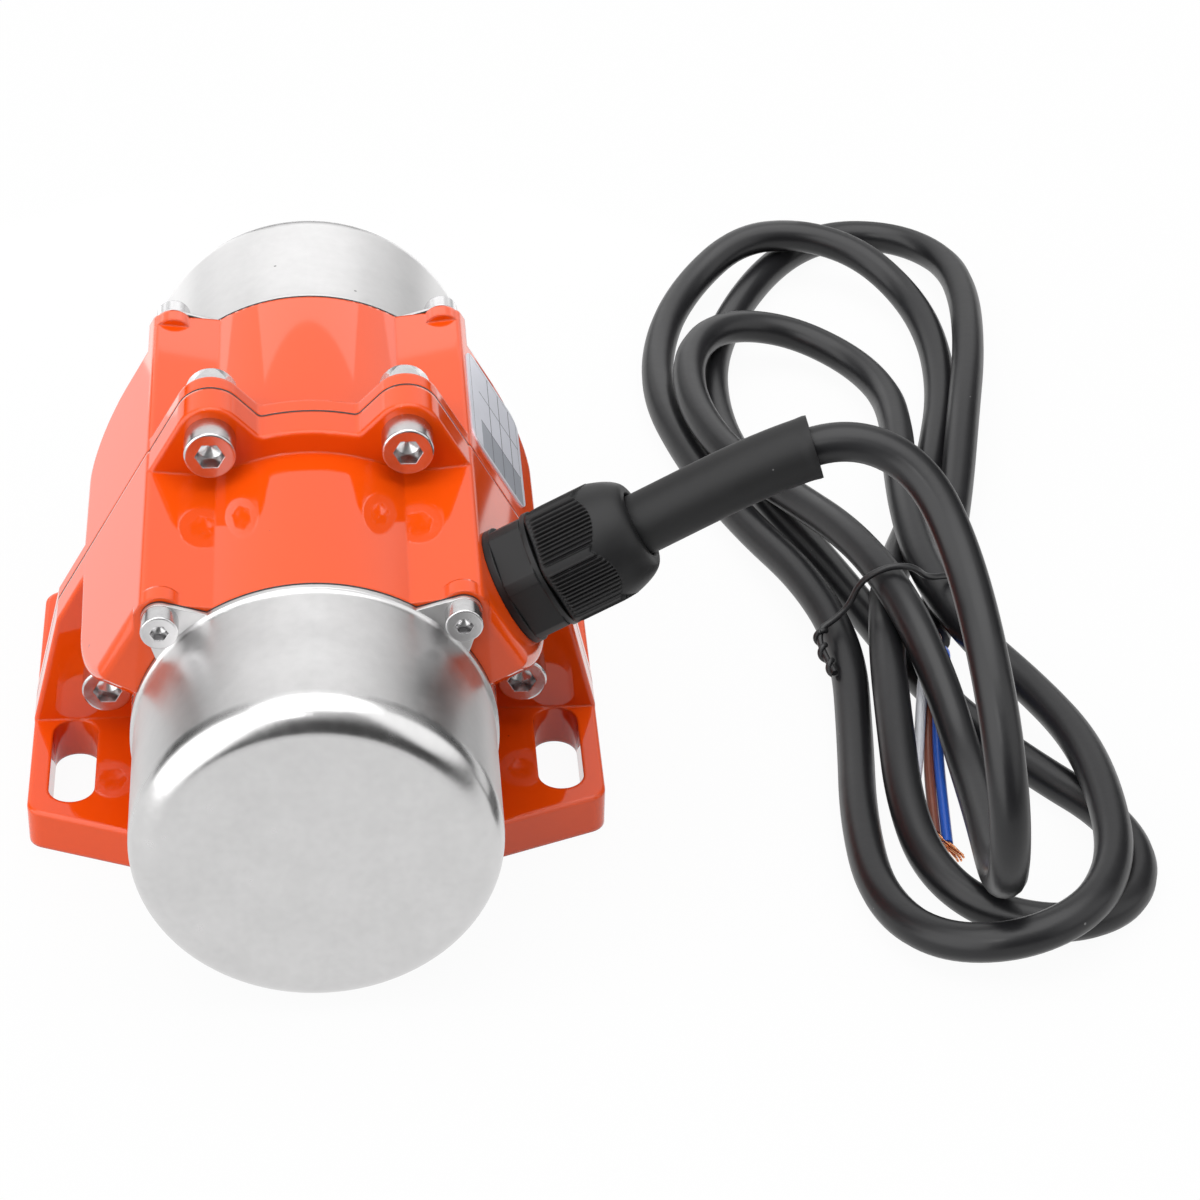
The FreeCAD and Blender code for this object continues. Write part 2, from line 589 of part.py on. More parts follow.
def lock_nuts():
    """Hexagon nuts with a round collar that holds the locking ring."""
    body = hexagon(M6_NUT_AF, M6_NUT_H)
    crown = Part.makeCone(0.62 * M6_NUT_AF, 0.5 * M6_NUT_AF, M6_NUT_H, V(0, 0, 0))
    collar = Part.makeCone(0.47 * M6_NUT_AF, 0.4 * M6_NUT_AF, M6_COLLAR_H, V(0, 0, M6_NUT_H))
    bore = Part.makeCylinder(M6_R + BOLT_CLEARANCE / 2, 2 * M6_NUT_AF, V(0, 0, -1))
    one = body.common(crown).fuse(collar).cut(bore)
    return [along(one, V(x, FLANGE_REAR, z), Y_AXIS) for x, z in flange_bolt_places()]


def sector(r, half_angle, y0, y1):
    """A wedge about the shaft's axis, symmetric about +Z."""
    a = math.radians(half_angle)
    return prism([(0, AXIS_Z), (r * math.tan(a), AXIS_Z + r), (-r * math.tan(a), AXIS_Z + r)], y0, y1)


def turned_copies(shape, count):
    out = []
    for k in range(count):
        one = shape.copy()
        one.rotate(V(0, 0, AXIS_Z), Y_AXIS, 360 * k / count)
        out.append(one)
    return out


def winding_room(y0, y1, shrink):
    """The room of one stator slot, made smaller all round by shrink."""
    tip = STATOR_IN_R + SLOT_TIP_T
    wedge = sector(SLOT_OUT_R + 2, SLOT_HALF_ANGLE - shrink * 1.4, y0, y1)
    return wedge.common(ring(tip + shrink, SLOT_OUT_R - shrink, y0, y1))


def stator_core():
    """The stack of laminations with its slots."""
    y = STACK_HALF
    mouth = sector(STATOR_IN_R + 2 * SLOT_TIP_T, MOUTH_HALF_ANGLE, -y - 1, y + 1).common(
        ring(STATOR_IN_R - 1, STATOR_IN_R + SLOT_TIP_T + 1, -y - 1, y + 1))
    room = winding_room(-y - 1, y + 1, 0).fuse(mouth)
    return ring(STATOR_IN_R, BORE_R - STATOR_FIT, -y, y).cut(Part.makeCompound(turned_copies(room, SLOT_COUNT)))


def stator_windings():
    """Slot fillings joined by the end turns on both sides of the stack."""
    y, over = STACK_HALF, COIL_OVERHANG
    r0, r1 = STATOR_IN_R + SLOT_TIP_T + COIL_CLEARANCE, SLOT_OUT_R + COIL_HEAD_OUT
    bars = turned_copies(winding_room(-y - 1, y + 1, COIL_CLEARANCE), SLOT_COUNT)
    lean = 0.3 * over
    end_turns = spun([(r0, y + COIL_CLEARANCE), (r1, y + COIL_CLEARANCE), (r1, y + over - lean),
                      (r1 - lean, y + over), (r0 + lean, y + over), (r0, y + over - lean)])
    return end_turns.multiFuse([front(end_turns), *bars])


def rotor_bars(extra):
    places = ROTOR_R - CAGE_BAR_DEPTH
    return turned_copies(rod(0, AXIS_Z + places, CAGE_BAR_R + extra, -STACK_HALF, STACK_HALF), CAGE_BARS)


def rotor_core():
    body = ring(SHAFT_R, ROTOR_R, -STACK_HALF, STACK_HALF)
    return body.cut(Part.makeCompound(rotor_bars(0)))


def rotor_cage():
    """The cast cage: a ring at each end and the bars between them."""
    y0, y1 = STACK_HALF, STACK_HALF + CAGE_RING_T
    r1 = ROTOR_R - 0.5
    r0 = ROTOR_R - 2 * CAGE_BAR_DEPTH - CAGE_BAR_R
    end = ring(r0, r1, y0, y1)
    return end.multiFuse([front(end), *rotor_bars(0)])


def shaft():
    """The stepped shaft with its keyways and clip grooves."""
    c = SHAFT_CHAMFER
    bearing_r = BEARING_BORE / 2
    half = [(SHAFT_R, BEARING_Y0), (bearing_r, BEARING_Y0),
            (bearing_r, WEIGHT_START_Y), (SHAFT_END_R, WEIGHT_START_Y), (SHAFT_END_R, CLIP_Y0),
            (SHAFT_END_R - CLIP_DEPTH, CLIP_Y0), (SHAFT_END_R - CLIP_DEPTH, CLIP_Y0 + CLIP_T),
            (SHAFT_END_R, CLIP_Y0 + CLIP_T), (SHAFT_END_R, SHAFT_END_Y - c), (SHAFT_END_R - c, SHAFT_END_Y),
            (0, SHAFT_END_Y)]
    body = spun(half + [(r, -y) for r, y in reversed(half)])
    return body.cut(Part.makeCompound([key(), front(key())])).removeSplitter()


def key():
    """The key between the shaft and a fixed weight, half in each."""
    z = AXIS_Z + SHAFT_END_R - KEY_H / 2
    y0 = WEIGHT_START_Y
    return block(-KEY_W / 2, y0, z, KEY_W / 2, y0 + WEIGHT_T, z + KEY_H)


def weight_outline(y0, y1):
    """A half-moon that hangs below the shaft, with a full round hub."""
    moon = coaxial(WEIGHT_R, y0, y1).common(block(-WEIGHT_R, y0, AXIS_Z - WEIGHT_R, WEIGHT_R, y1, AXIS_Z))
    rim = [e for e in moon.Edges if e.Curve.TypeId == "Part::GeomCircle"]
    return moon.makeFillet(EDGE_R, rim).fuse(coaxial(WEIGHT_HUB_R, y0, y1))


def fixed_weight():
    y0, y1 = WEIGHT_START_Y, WEIGHT_START_Y + WEIGHT_T
    body = weight_outline(y0, y1)
    return body.cut(Part.makeCompound([coaxial(SHAFT_END_R, y0 - 1, y1 + 1), key()])).removeSplitter()


def adjustable_weight():
    """The outer weight, split through its hub so that a screw clamps it at any angle."""
    y0, y1 = ADJUST_Y0, ADJUST_Y1
    ears = block(-CLAMP_EAR_X, y0, AXIS_Z, CLAMP_EAR_X, y1, AXIS_Z + CLAMP_EAR_TOP)
    slit = block(-CLAMP_SLIT / 2, y0 - 1, AXIS_Z, CLAMP_SLIT / 2, y1 + 1, AXIS_Z + CLAMP_EAR_TOP + 1)
    y = (y0 + y1) / 2
    hole = Part.makeCylinder(M4_R + BOLT_CLEARANCE, 2 * CLAMP_EAR_X + 2, V(-CLAMP_EAR_X - 1, y, AXIS_Z + CLAMP_SCREW_Z),
                             V(1, 0, 0))
    body = weight_outline(y0, y1).fuse(ears)
    bore = coaxial(SHAFT_END_R + RUNNING_FIT, y0 - 1, y1 + 1)
    return body.cut(Part.makeCompound([bore, slit, hole])).removeSplitter()


def clamp_screw():
    one = socket_screw(M4_R, M4_HEAD_R, M4_HEAD_H, M4_SOCKET_AF, 2 * CLAMP_EAR_X)
    return along(one, V(CLAMP_EAR_X, (ADJUST_Y0 + ADJUST_Y1) / 2, AXIS_Z + CLAMP_SCREW_Z), V(1, 0, 0))


def spacer():
    """The sleeve between a bearing and the weights."""
    return ring(BEARING_BORE / 2, BEARING_BORE / 2 + RING_T, BEARING_Y1, WEIGHT_START_Y)


def clip():
    """The open retaining ring in the shaft's groove."""
    y0 = CLIP_Y0
    body = ring(SHAFT_END_R - CLIP_DEPTH, CLIP_R, y0, y0 + CLIP_T)
    return body.cut(block(-CLIP_GAP / 2, y0 - 1, AXIS_Z, CLIP_GAP / 2, y0 + 2, AXIS_Z + 2 * CLIP_R))


def bearing_ring(r_in, r_out):
    """A bearing ring with its ball groove."""
    groove = Part.makeTorus(BALL_PITCH_R, GROOVE_R, V(0, (BEARING_Y0 + BEARING_Y1) / 2, AXIS_Z), Y_AXIS)
    return ring(r_in, r_out, BEARING_Y0, BEARING_Y1).cut(groove)


def balls():
    one = Part.makeSphere(BALL_R, V(0, (BEARING_Y0 + BEARING_Y1) / 2, AXIS_Z + BALL_PITCH_R))
    return turned_copies(one, BALL_COUNT)


def ball_cage():
    y = (BEARING_Y0 + BEARING_Y1) / 2
    pocket = Part.makeSphere(BALL_R + RUNNING_FIT, V(0, y, AXIS_Z + BALL_PITCH_R))
    band = ring(BALL_PITCH_R - CAGE_T / 2, BALL_PITCH_R + CAGE_T / 2, y - CAGE_W / 2 - BALL_R / 2, y + CAGE_W / 2)
    return band.cut(Part.makeCompound(turned_copies(pocket, BALL_COUNT)))


def wave_washer():
    """The spring washer that loads the rear bearing's outer ring against its lip."""
    y = BEARING_Y0
    return ring(BEARING_OD / 2 - RING_T, BEARING_OD / 2 - 0.2, y - 0.8, y)


def gland_hole():
    """The threaded hole for the gland, through the side face into the housing."""
    return along(Part.makeCylinder(GLAND_THREAD_R, POD_DEPTH + 2, V(0, 0, -POD_DEPTH)), GLAND_BASE, OUT)


def on_gland(shape):
    return along(shape, GLAND_BASE, OUT)


def gland_ring(r_in, r_out, t0, t1):
    return Part.makeCylinder(r_out, t1 - t0, V(0, 0, t0)).cut(Part.makeCylinder(r_in, t1 - t0 + 2, V(0, 0, t0 - 1)))


def gland_body():
    """The fixed part: thread, hexagon, collar and the spigot that the nut screws on to."""
    t1 = GLAND_WASHER_T
    t2 = t1 + GLAND_HEX_T
    t3 = t2 + GLAND_COLLAR_T
    t4 = t3 + GLAND_SPIGOT_L
    hexagon_bar = hexagon(GLAND_AF, GLAND_HEX_T)
    hexagon_bar.translate(V(0, 0, t1))
    rounding = Part.makeCylinder(1.1 * GLAND_AF / 2, GLAND_HEX_T, V(0, 0, t1))
    body = hexagon_bar.common(rounding).multiFuse([
        Part.makeCylinder(GLAND_THREAD_R, GLAND_THREAD_L + t1, V(0, 0, -GLAND_THREAD_L)),
        Part.makeCylinder(GLAND_COLLAR_R, GLAND_COLLAR_T, V(0, 0, t2)),
        Part.makeCylinder(GLAND_SPIGOT_R, t4 - t3, V(0, 0, t3))])
    return body.cut(Part.makeCylinder(GLAND_BORE_R, t4 + GLAND_THREAD_L + 2, V(0, 0, -GLAND_THREAD_L - 1)))


def gland_nut():
    """The domed nut: a rounded hexagon with ribbed flats, and a dome down to the cable's mouth."""
    t0 = GLAND_WASHER_T + GLAND_HEX_T + GLAND_COLLAR_T + 0.3
    t1 = t0 + NUT_STRAIGHT
    t2 = t1 + NUT_DOME
    side = hexagon(NUT_AF, NUT_STRAIGHT).common(Part.makeCylinder(NUT_R, NUT_STRAIGHT))
    side = side.makeFillet(0.9, edges_at(side, lambda p: p.z < 1e-6)).copy()
    side.translate(V(0, 0, t0))
    mouth = NUT_MOUTH_R + 1.6
    shoulder_r = NUT_AF / 2 - 0.4
    wire = Part.Wire([
        Part.makeLine(V(0, 0, t1), V(shoulder_r, 0, t1)),
        Part.Arc(V(shoulder_r, 0, t1), V(shoulder_r - 0.9, 0, t1 + 0.55 * NUT_DOME), V(mouth, 0, t2)).toShape(),
        Part.makeLine(V(mouth, 0, t2), V(0, 0, t2)),
        Part.makeLine(V(0, 0, t2), V(0, 0, t1))])
    dome = Part.Face(wire).revolve(V(0, 0, 0), V(0, 0, 1), 360)
    cavity = Part.makeCylinder(GLAND_SPIGOT_R + BOLT_CLEARANCE, GLAND_SPIGOT_L + 0.5, V(0, 0, t0 - 0.5))
    bore = Part.makeCylinder(NUT_MOUTH_R, t2 + 2, V(0, 0, 0))
    return side.fuse(dome).cut(Part.makeCompound([cavity, bore]))


def gland_seal():
    t0 = GLAND_WASHER_T + GLAND_HEX_T
    return gland_ring(CABLE_R + SLEEVE_FIT, GLAND_BORE_R - SLEEVE_FIT, t0, t0 + SEAL_L)


def turn_at(a, b, c):
    """The angle by which a route turns at b."""
    return (b - a).getAngle(c - b)


def bend_radii(points):
    """Each bend's radius: 0.45 of the shorter run beside it, over the tangent of half the turn."""
    out = [0]
    for a, b, c in zip(points, points[1:], points[2:]):
        shorter = min((b - a).Length, (c - b).Length)
        out.append(0.45 * shorter / math.tan(turn_at(a, b, c) / 2))
    return out + [0]


def route_wire(points, radii):
    """Straight runs joined by tangent arcs."""
    edges = []
    last = points[0]
    for a, b, c, r in zip(points, points[1:], points[2:], radii[1:]):
        back, on = (a - b).normalize(), (c - b).normalize()
        half = turn_at(a, b, c) / 2
        reach = r * math.tan(half)
        start, end = b + back * reach, b + on * reach
        inward = (back + on).normalize()
        middle = b + inward * (r / math.cos(half) - r)
        edges += [Part.makeLine(last, start), Part.Arc(start, middle, end).toShape()]
        last = end
    edges.append(Part.makeLine(last, points[-1]))
    return Part.Wire(edges)


def round_tube(wire, r):
    """A solid round bar along a wire."""
    start = wire.Edges[0]
    disc = Part.Wire(Part.makeCircle(r, start.Vertexes[0].Point, start.tangentAt(start.FirstParameter)))
    return wire.makePipeShell([disc], True, False)


def vectors(points):
    return [V(*p) for p in points]


def cord(points, r):
    route = vectors(points)
    return round_tube(route_wire(route, bend_radii(route)), r)


def power_cable():
    """The jacketed cable, whose bend radii and volume are printed."""
    route = vectors(CABLE_POINTS)
    radii = bend_radii(route)
    wire = route_wire(route, radii)
    solid = round_tube(wire, CABLE_R)
    print("cable bend radii", [round(r) for r in radii[1:-1]])
    print("cable length", round(wire.Length), "volume ratio",
          round(solid.Volume / (math.pi * CABLE_R**2 * wire.Length), 4))
    return solid


def cable_sleeve():
    """The shrunk sleeve over the first stretch of the cable, bent along with it."""
    route = vectors(CABLE_POINTS)
    radii = bend_radii(route)
    start = GLAND_BASE + OUT * SLEEVE_START
    first, second, third = route[1], route[2], route[3]
    on = (third - second).normalize()
    end = second + on * (SLEEVE_END - (second - GLAND_BASE).Length)
    begin = first + (route[0] - first).normalize() * (first - start).Length
    wire = route_wire([begin, first, second, end], [0, radii[1], radii[2], 0])
    return round_tube(wire, SLEEVE_R).cut(round_tube(wire, CABLE_R + SLEEVE_FIT))


def core_starts():
    """Where each core leaves the jacket's end face."""
    route = vectors(CABLE_POINTS)
    end = route[-1]
    way = (end - route[-2]).normalize()
    side = V(-way.y, way.x, 0).normalize()
    up = way.cross(side) * -1
    if up.z < 0:
        up = up * -1
    out = {}
    for name, turn in CORE_TURN.items():
        a = math.radians(turn)
        out[name] = end - side * (CORE_PITCH * math.cos(a)) + up * (CORE_PITCH * math.sin(a))
    return out


def core_points(name):
    """A core's route: it leaves square to the jacket's end face."""
    route = vectors(CABLE_POINTS[-2:])
    start = core_starts()[name]
    leave = start + (route[1] - route[0]).normalize() * CORE_LEAD
    return [(start.x, start.y, start.z), (leave.x, leave.y, leave.z)] + CORE_POINTS[name]


def core_tip(name):
    a, b = vectors(CORE_POINTS[name][-2:])
    return Part.makeCylinder(TIP_R, TIP_L, b, b - a)


def rating_plate():
    """The thin plate on the rear half's right side face, with rounded corners."""
    one = Part.makeBox(PLATE_H, PLATE_L, PLATE_T)
    upright = [e for e in one.Edges if abs(e.Vertexes[0].Z - e.Vertexes[1].Z) > PLATE_T / 2]
    one = one.makeFillet(PLATE_CORNER_R, upright)
    turn = FreeCAD.Rotation(DOWN, Y_AXIS, OUT, "ZXY")
    one.Placement = FreeCAD.Placement(SLOPE_TOP + DOWN * PLATE_DOWN + V(0, PLATE_Y0, 0), turn)
    return one


def main():
    os.makedirs("parts", exist_ok=True)

    save("housing_front", front(housing(FLANGE_FRONT, front_pod())).cut(gland_hole()))
    save("housing_rear", housing(FLANGE_REAR, rear_pod()))
    save("housing_gasket", joint_gasket())

    save("cap_rear", cap())
    save("cap_front", front(cap()))
    gasket = flange_ring(BODY_HALF, CAP_Y0, CAP_R - CAP_WALL)
    save("cap_gasket_rear", gasket)
    save("cap_gasket_front", front(gasket))
    save("cap_screws_rear", *cap_screws())
    save("cap_screws_front", *[front(s) for s in cap_screws()])
    places = flange_bolt_places()
    save("flange_bolts_top", *flange_bolts(places[:2]))
    save("flange_bolts_low", *flange_bolts(places[2:]))
    save("lock_nuts", *lock_nuts())

    save("stator_core", stator_core())
    save("stator_windings", stator_windings())
    save("rotor_core", rotor_core())
    save("rotor_cage", rotor_cage())
    save("rotor_shaft", shaft())

    seat_r, bore_r = BEARING_OD / 2, BEARING_BORE / 2
    for end, at in (("rear", lambda s: s), ("front", front)):
        save(f"bearing_outer_{end}", at(bearing_ring(seat_r - RING_T, seat_r)))
        save(f"bearing_inner_{end}", at(bearing_ring(bore_r, bore_r + RING_T)))
        save(f"bearing_balls_{end}", *[at(b) for b in balls()])
        save(f"bearing_cage_{end}", at(ball_cage()))
        save(f"fixed_weight_{end}", at(fixed_weight()))
        save(f"adjustable_weight_{end}", at(adjustable_weight()))
        save(f"clamp_screw_{end}", at(clamp_screw()))
    save("weight_keys", key(), front(key()))
    save("spacer_sleeves", spacer(), front(spacer()))
    save("shaft_clips", clip(), front(clip()))
    save("wave_washer", wave_washer())

    save("gland_washer", on_gland(gland_ring(GLAND_THREAD_R, GLAND_WASHER_R, 0, GLAND_WASHER_T)))
    save("gland_body", on_gland(gland_body()))
    save("gland_seal", on_gland(gland_seal()))
    save("gland_nut", on_gland(gland_nut()))
    save("cable_sleeve", cable_sleeve())
    save("power_cable", power_cable())
    for name in CORE_POINTS:
        save(name, cord(core_points(name), CORE_R))
    save("core_tips", *[core_tip(name) for name in CORE_POINTS])
    save("cable_tie", cord(TIE_POINTS, TIE_R))
    save("rating_plate", rating_plate())


main()
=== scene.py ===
"""Vibration motor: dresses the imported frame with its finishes, its free cable and the studio round it."""

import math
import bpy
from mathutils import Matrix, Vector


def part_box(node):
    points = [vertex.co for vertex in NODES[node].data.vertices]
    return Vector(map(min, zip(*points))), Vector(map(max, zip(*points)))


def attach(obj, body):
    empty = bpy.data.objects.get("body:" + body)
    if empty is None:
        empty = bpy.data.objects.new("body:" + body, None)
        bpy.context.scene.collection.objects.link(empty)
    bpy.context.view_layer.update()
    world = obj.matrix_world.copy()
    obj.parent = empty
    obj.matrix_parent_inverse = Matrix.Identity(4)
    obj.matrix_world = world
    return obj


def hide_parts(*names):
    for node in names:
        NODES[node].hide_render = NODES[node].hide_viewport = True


bl_info = {
    "name": "Vibration motor",
    "version": (1, 0, 0),
    "blender": (4, 5, 0),
    "location": "3D View > Sidebar > Motor",
    "description": "Finishes, cable, gland and studio of a small vibration motor",
    "category": "Object",
}

import bpy
import numpy as np
from mathutils import Matrix, Vector

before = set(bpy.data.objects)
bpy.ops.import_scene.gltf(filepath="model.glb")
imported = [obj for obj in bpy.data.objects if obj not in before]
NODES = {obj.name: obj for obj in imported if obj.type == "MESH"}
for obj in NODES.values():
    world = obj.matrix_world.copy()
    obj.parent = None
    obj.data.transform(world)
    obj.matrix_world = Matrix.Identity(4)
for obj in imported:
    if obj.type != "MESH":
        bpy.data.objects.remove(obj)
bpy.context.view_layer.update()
MM = 0.001

# Camera, solved on the motor's own edges: position in millimetres, angles in degrees
CAMERA_AT = (4.2, -591.0, 438.1)
CAMERA_YAW = 5.18
CAMERA_DOWN = 34.56
CAMERA_ROLL = 1.59
CAMERA_LENS = 106.75
SENSOR_WIDTH = 36

# Lamps: name, place, aim, size across and up, power
LAMPS = [
    ("front key", (-0.25, -0.9, 0.9), (0.0, 0.0, 0.04), 0.12, 0.12, 0.9),
    ("rear card", (0.0, 0.21, 0.145), (0.0, 0.07, 0.075), 0.13, 0.04, 0.012),
    ("rear card left", (-0.085, 0.21, 0.062), (0.0, 0.07, 0.055), 0.085, 0.11, 0.026),
    ("rear card right", (0.085, 0.21, 0.062), (0.0, 0.07, 0.055), 0.085, 0.11, 0.016),
]

# Light boxes of the surroundings: first and last bearing from the back towards the right, lowest and
# highest angle over the horizon, softness of their edges (degrees) and level
LIGHT_BOXES = [
    (-40, 33, 8, 58, 7, 1.05),
    (-158, -80, -14, 58, 7, 2.6),
    (82, 146, 6, 58, 8, 1.4),
    (-400, 400, 57, 400, 7, 3.1),
]

# The room behind the light boxes: its level low down, what is added overhead, and between which angles
ROOM_LOW = 0.06
ROOM_HIGH = 0.6
ROOM_RISE = (15, 55)

# Floor: corners in millimetres, the grey that lights the object, and the share of white that is seen
FLOOR_CORNERS = [(-1600, -250, 0), (1600, -250, 0), (1600, 2400, 0), (-1600, 2400, 0)]
FLOOR_GREY = 0.55
FLOOR_WHITE = 0.95

# Cable gland: where its axis meets the housing's side face, and the way it points
GLAND_BASE = np.array([37.83, -33.0, 55.64])
GLAND_WAY = np.array([0.87036, 0.0, 0.49242])

# The cable's route, from inside the front half to the end of its jacket, in metres
CABLE_ROUTE = [
    (0.03261, -0.033, 0.05268), (0.06394, -0.033, 0.07041), (0.086, -0.033, 0.083),
    (0.101, -0.0325, 0.088), (0.114, -0.0375, 0.0835), (0.1205, -0.051, 0.073), (0.1235, -0.074, 0.0605),
    (0.1255, -0.088, 0.044), (0.1275, -0.0865, 0.0245), (0.129, -0.0715, 0.012),
    (0.13, -0.05, 0.009), (0.13, -0.028, 0.007), (0.1275, -0.009, 0.013), (0.122, 0.011, 0.0203),
    (0.115, 0.036, 0.0195), (0.104, 0.064, 0.013),
    (0.093, 0.0815, 0.012), (0.087, 0.103, 0.012), (0.088, 0.125, 0.012), (0.097, 0.139, 0.012),
    (0.113, 0.143, 0.0085),
    (0.1275, 0.134, 0.0055), (0.1345, 0.1175, 0.0055), (0.134, 0.097, 0.008),
    (0.131, 0.075, 0.012), (0.1295, 0.051, 0.0128), (0.131, 0.029, 0.0125), (0.1375, 0.01, 0.0105),
    (0.147, -0.007, 0.0095),
    (0.153, -0.026, 0.011), (0.1545, -0.046, 0.012), (0.153, -0.066, 0.012), (0.145, -0.0815, 0.012),
    (0.13, -0.0875, 0.0095), (0.115, -0.082, 0.006), (0.107, -0.066, 0.004), (0.1065, -0.042, 0.0039),
    (0.1095, -0.015, 0.0039),
    (0.1115, 0.012, 0.0065), (0.106, 0.036, 0.008), (0.0955, 0.063, 0.005),
    (0.086, 0.092, 0.0039), (0.0805, 0.121, 0.0039), (0.084, 0.149, 0.0039), (0.093, 0.169, 0.0065),
    (0.106, 0.1815, 0.0115),
    (0.121, 0.1835, 0.012), (0.1355, 0.1775, 0.010), (0.1455, 0.164, 0.006),
    (0.1495, 0.145, 0.0045), (0.1485, 0.12, 0.0039), (0.1425, 0.094, 0.0039), (0.1345, 0.067, 0.0039),
    (0.126, 0.045, 0.005),
    (0.121, 0.025, 0.012), (0.118, 0.003, 0.0122), (0.1165, -0.02, 0.0105), (0.1155, -0.042, 0.008),
    (0.118, -0.059, 0.0055),
    (0.1265, -0.071, 0.004), (0.1415, -0.0765, 0.0039), (0.155, -0.071, 0.0039), (0.1605, -0.0575, 0.0039),
    (0.1565, -0.042, 0.0039), (0.145, -0.028, 0.0039), (0.1315, -0.008, 0.0039), (0.1215, 0.017, 0.0039),
    (0.112, 0.0475, 0.0039), (0.101, 0.076, 0.0039), (0.0935, 0.105, 0.0039), (0.0945, 0.135, 0.0039),
    (0.1035, 0.161, 0.0039), (0.116, 0.184, 0.0039), (0.1305, 0.197, 0.0039), (0.1475, 0.1955, 0.0039),
    (0.158, 0.182, 0.005), (0.1595, 0.16, 0.008), (0.156, 0.13, 0.010), (0.1495, 0.099, 0.010),
    (0.1435, 0.07, 0.0065), (0.1365, 0.043, 0.0039), (0.1305, 0.0185, 0.0039),
]
CABLE_DIAMETER = 0.0076
CABLE_STEPS = 10

# The three cores beyond the jacket's end
CORE_ROUTES = {
    "core_white": [(0.12915, 0.01883, 0.0031), (0.12856, 0.0164, 0.0031), (0.1283, 0.0128, 0.0063),
                   (0.1274, 0.007, 0.0095), (0.125, -0.002, 0.0093), (0.1238, -0.0085, 0.0078),
                   (0.1224, -0.017, 0.0040), (0.1207, -0.026, 0.0016), (0.1186, -0.034, 0.00125)],
    "core_brown": [(0.1305, 0.0185, 0.0055), (0.1299, 0.0161, 0.0055), (0.1302, 0.0132, 0.0092),
                   (0.1291, 0.0055, 0.0113), (0.12705, -0.002, 0.0085), (0.1255, -0.0085, 0.0055),
                   (0.1243, -0.018, 0.0022), (0.1231, -0.028, 0.0013), (0.1218, -0.044, 0.00125)],
    "core_blue": [(0.13185, 0.01817, 0.0031), (0.13126, 0.01574, 0.0031), (0.1317, 0.0115, 0.0066),
                  (0.1309, 0.005, 0.0093), (0.1291, -0.002, 0.0096), (0.1272, -0.0085, 0.0075),
                  (0.1262, -0.017, 0.0038), (0.1254, -0.027, 0.0016), (0.1238, -0.047, 0.00125)],
}

CORE_COLOURS = {
    "core_white": (0.74, 0.75, 0.80),
    "core_brown": (0.21, 0.065, 0.04),
    "core_blue": (0.02, 0.10, 0.50),
}
CORE_RADIUS = 0.0011

# The wire tie round the bundle's waist
TIE_ROUTE = [
    (0.1380, 0.0265, 0.0075), (0.1378, 0.0262, 0.0142), (0.1340, 0.0240, 0.0172), (0.1285, 0.0197, 0.0193),
    (0.1245, 0.0167, 0.0246), (0.1188, 0.0157, 0.0252), (0.1136, 0.0162, 0.0214), (0.1118, 0.0166, 0.0150),
    (0.1085, 0.0150, 0.0124), (0.1052, 0.0135, 0.0112), (0.1052, 0.0090, 0.0090), (0.1072, 0.0015, 0.0085),
]
TIE_RADIUS = 0.0007

# The rating plate's blank table: the plate's sides and the margin in millimetres, the rest in shares of
# the plate's length (Y) and height (Z)
PLATE_SIDES = {"Y": 34.3, "Z": 21.8}
TABLE_MARGIN = 1.3
FRAME_RULE = 0.06
TABLE_TOP = 0.8
ROW_PITCH = 0.2
ROW_RULE = 0.06
TABLE_COLUMNS = (0.34, 0.66)
COLUMN_RULE = 0.005
FIELD_GREY = (0.34, 0.36, 0.41)
RULE_INK = (0.05, 0.05, 0.07)

# Specks: their radius as a share of a cell
SPECK_RADIUS = 0.09


# Meshes

def grid_faces(rows, columns, close_rows=False):
    """Quads of a grid: point (i, j) has index i * columns + j, and each quad joins (i, j), (i, j+1),
    (i+1, j+1) and (i+1, j). The columns go round and close, and so may the rows."""
    i = np.arange(rows if close_rows else rows - 1)[:, None]
    j = np.arange(columns)[None, :]
    i2, j2 = (i + 1) % rows, (j + 1) % columns
    corners = [i * columns + j, i * columns + j2, i2 * columns + j2, i2 * columns + j]
    return np.stack(corners, -1).reshape(-1, 4)


def mesh_object(name, points, faces, smooth_angle=None):
    """A mesh from an (n, 3) array in millimetres and a list of face arrays, smooth up to an angle."""
    mesh = bpy.data.meshes.new(name)
    corners = [face for part in faces for face in part.tolist()]
    mesh.from_pydata((np.asarray(points) * MM).tolist(), [], corners)
    mesh.validate()
    mesh.polygons.foreach_set("use_smooth", np.ones(len(mesh.polygons), bool))
    obj = bpy.data.objects.new(name, mesh)
    bpy.context.scene.collection.objects.link(obj)
    if smooth_angle is not None:
        mesh.set_sharp_from_angle(angle=math.radians(smooth_angle))
    return obj


def gland_frame(across, along):
    """Points at polar places about the gland's axis: base + along * way + x * side + y * up, where side is
    the horizontal across the gland and up completes the square."""
    side = np.array([0.0, 1.0, 0.0])
    up = np.cross(GLAND_WAY, side)
    return (GLAND_BASE + along[..., None] * GLAND_WAY
            + across[..., 0, None] * side + across[..., 1, None] * up)


def route_line(obj):
    """The points of a curve's own line, read from its spline with no bevel, in millimetres."""
    bare = obj.copy()
    bare.data = obj.data.copy()
    bare.data.bevel_depth = 0
    bpy.context.scene.collection.objects.link(bare)
    mesh = bpy.data.meshes.new_from_object(bare.evaluated_get(bpy.context.evaluated_depsgraph_get()))
    line = np.empty(len(mesh.vertices) * 3)
    mesh.vertices.foreach_get("co", line)
    bpy.data.objects.remove(bare)
    bpy.data.meshes.remove(mesh)
    return line.reshape(-1, 3) / MM


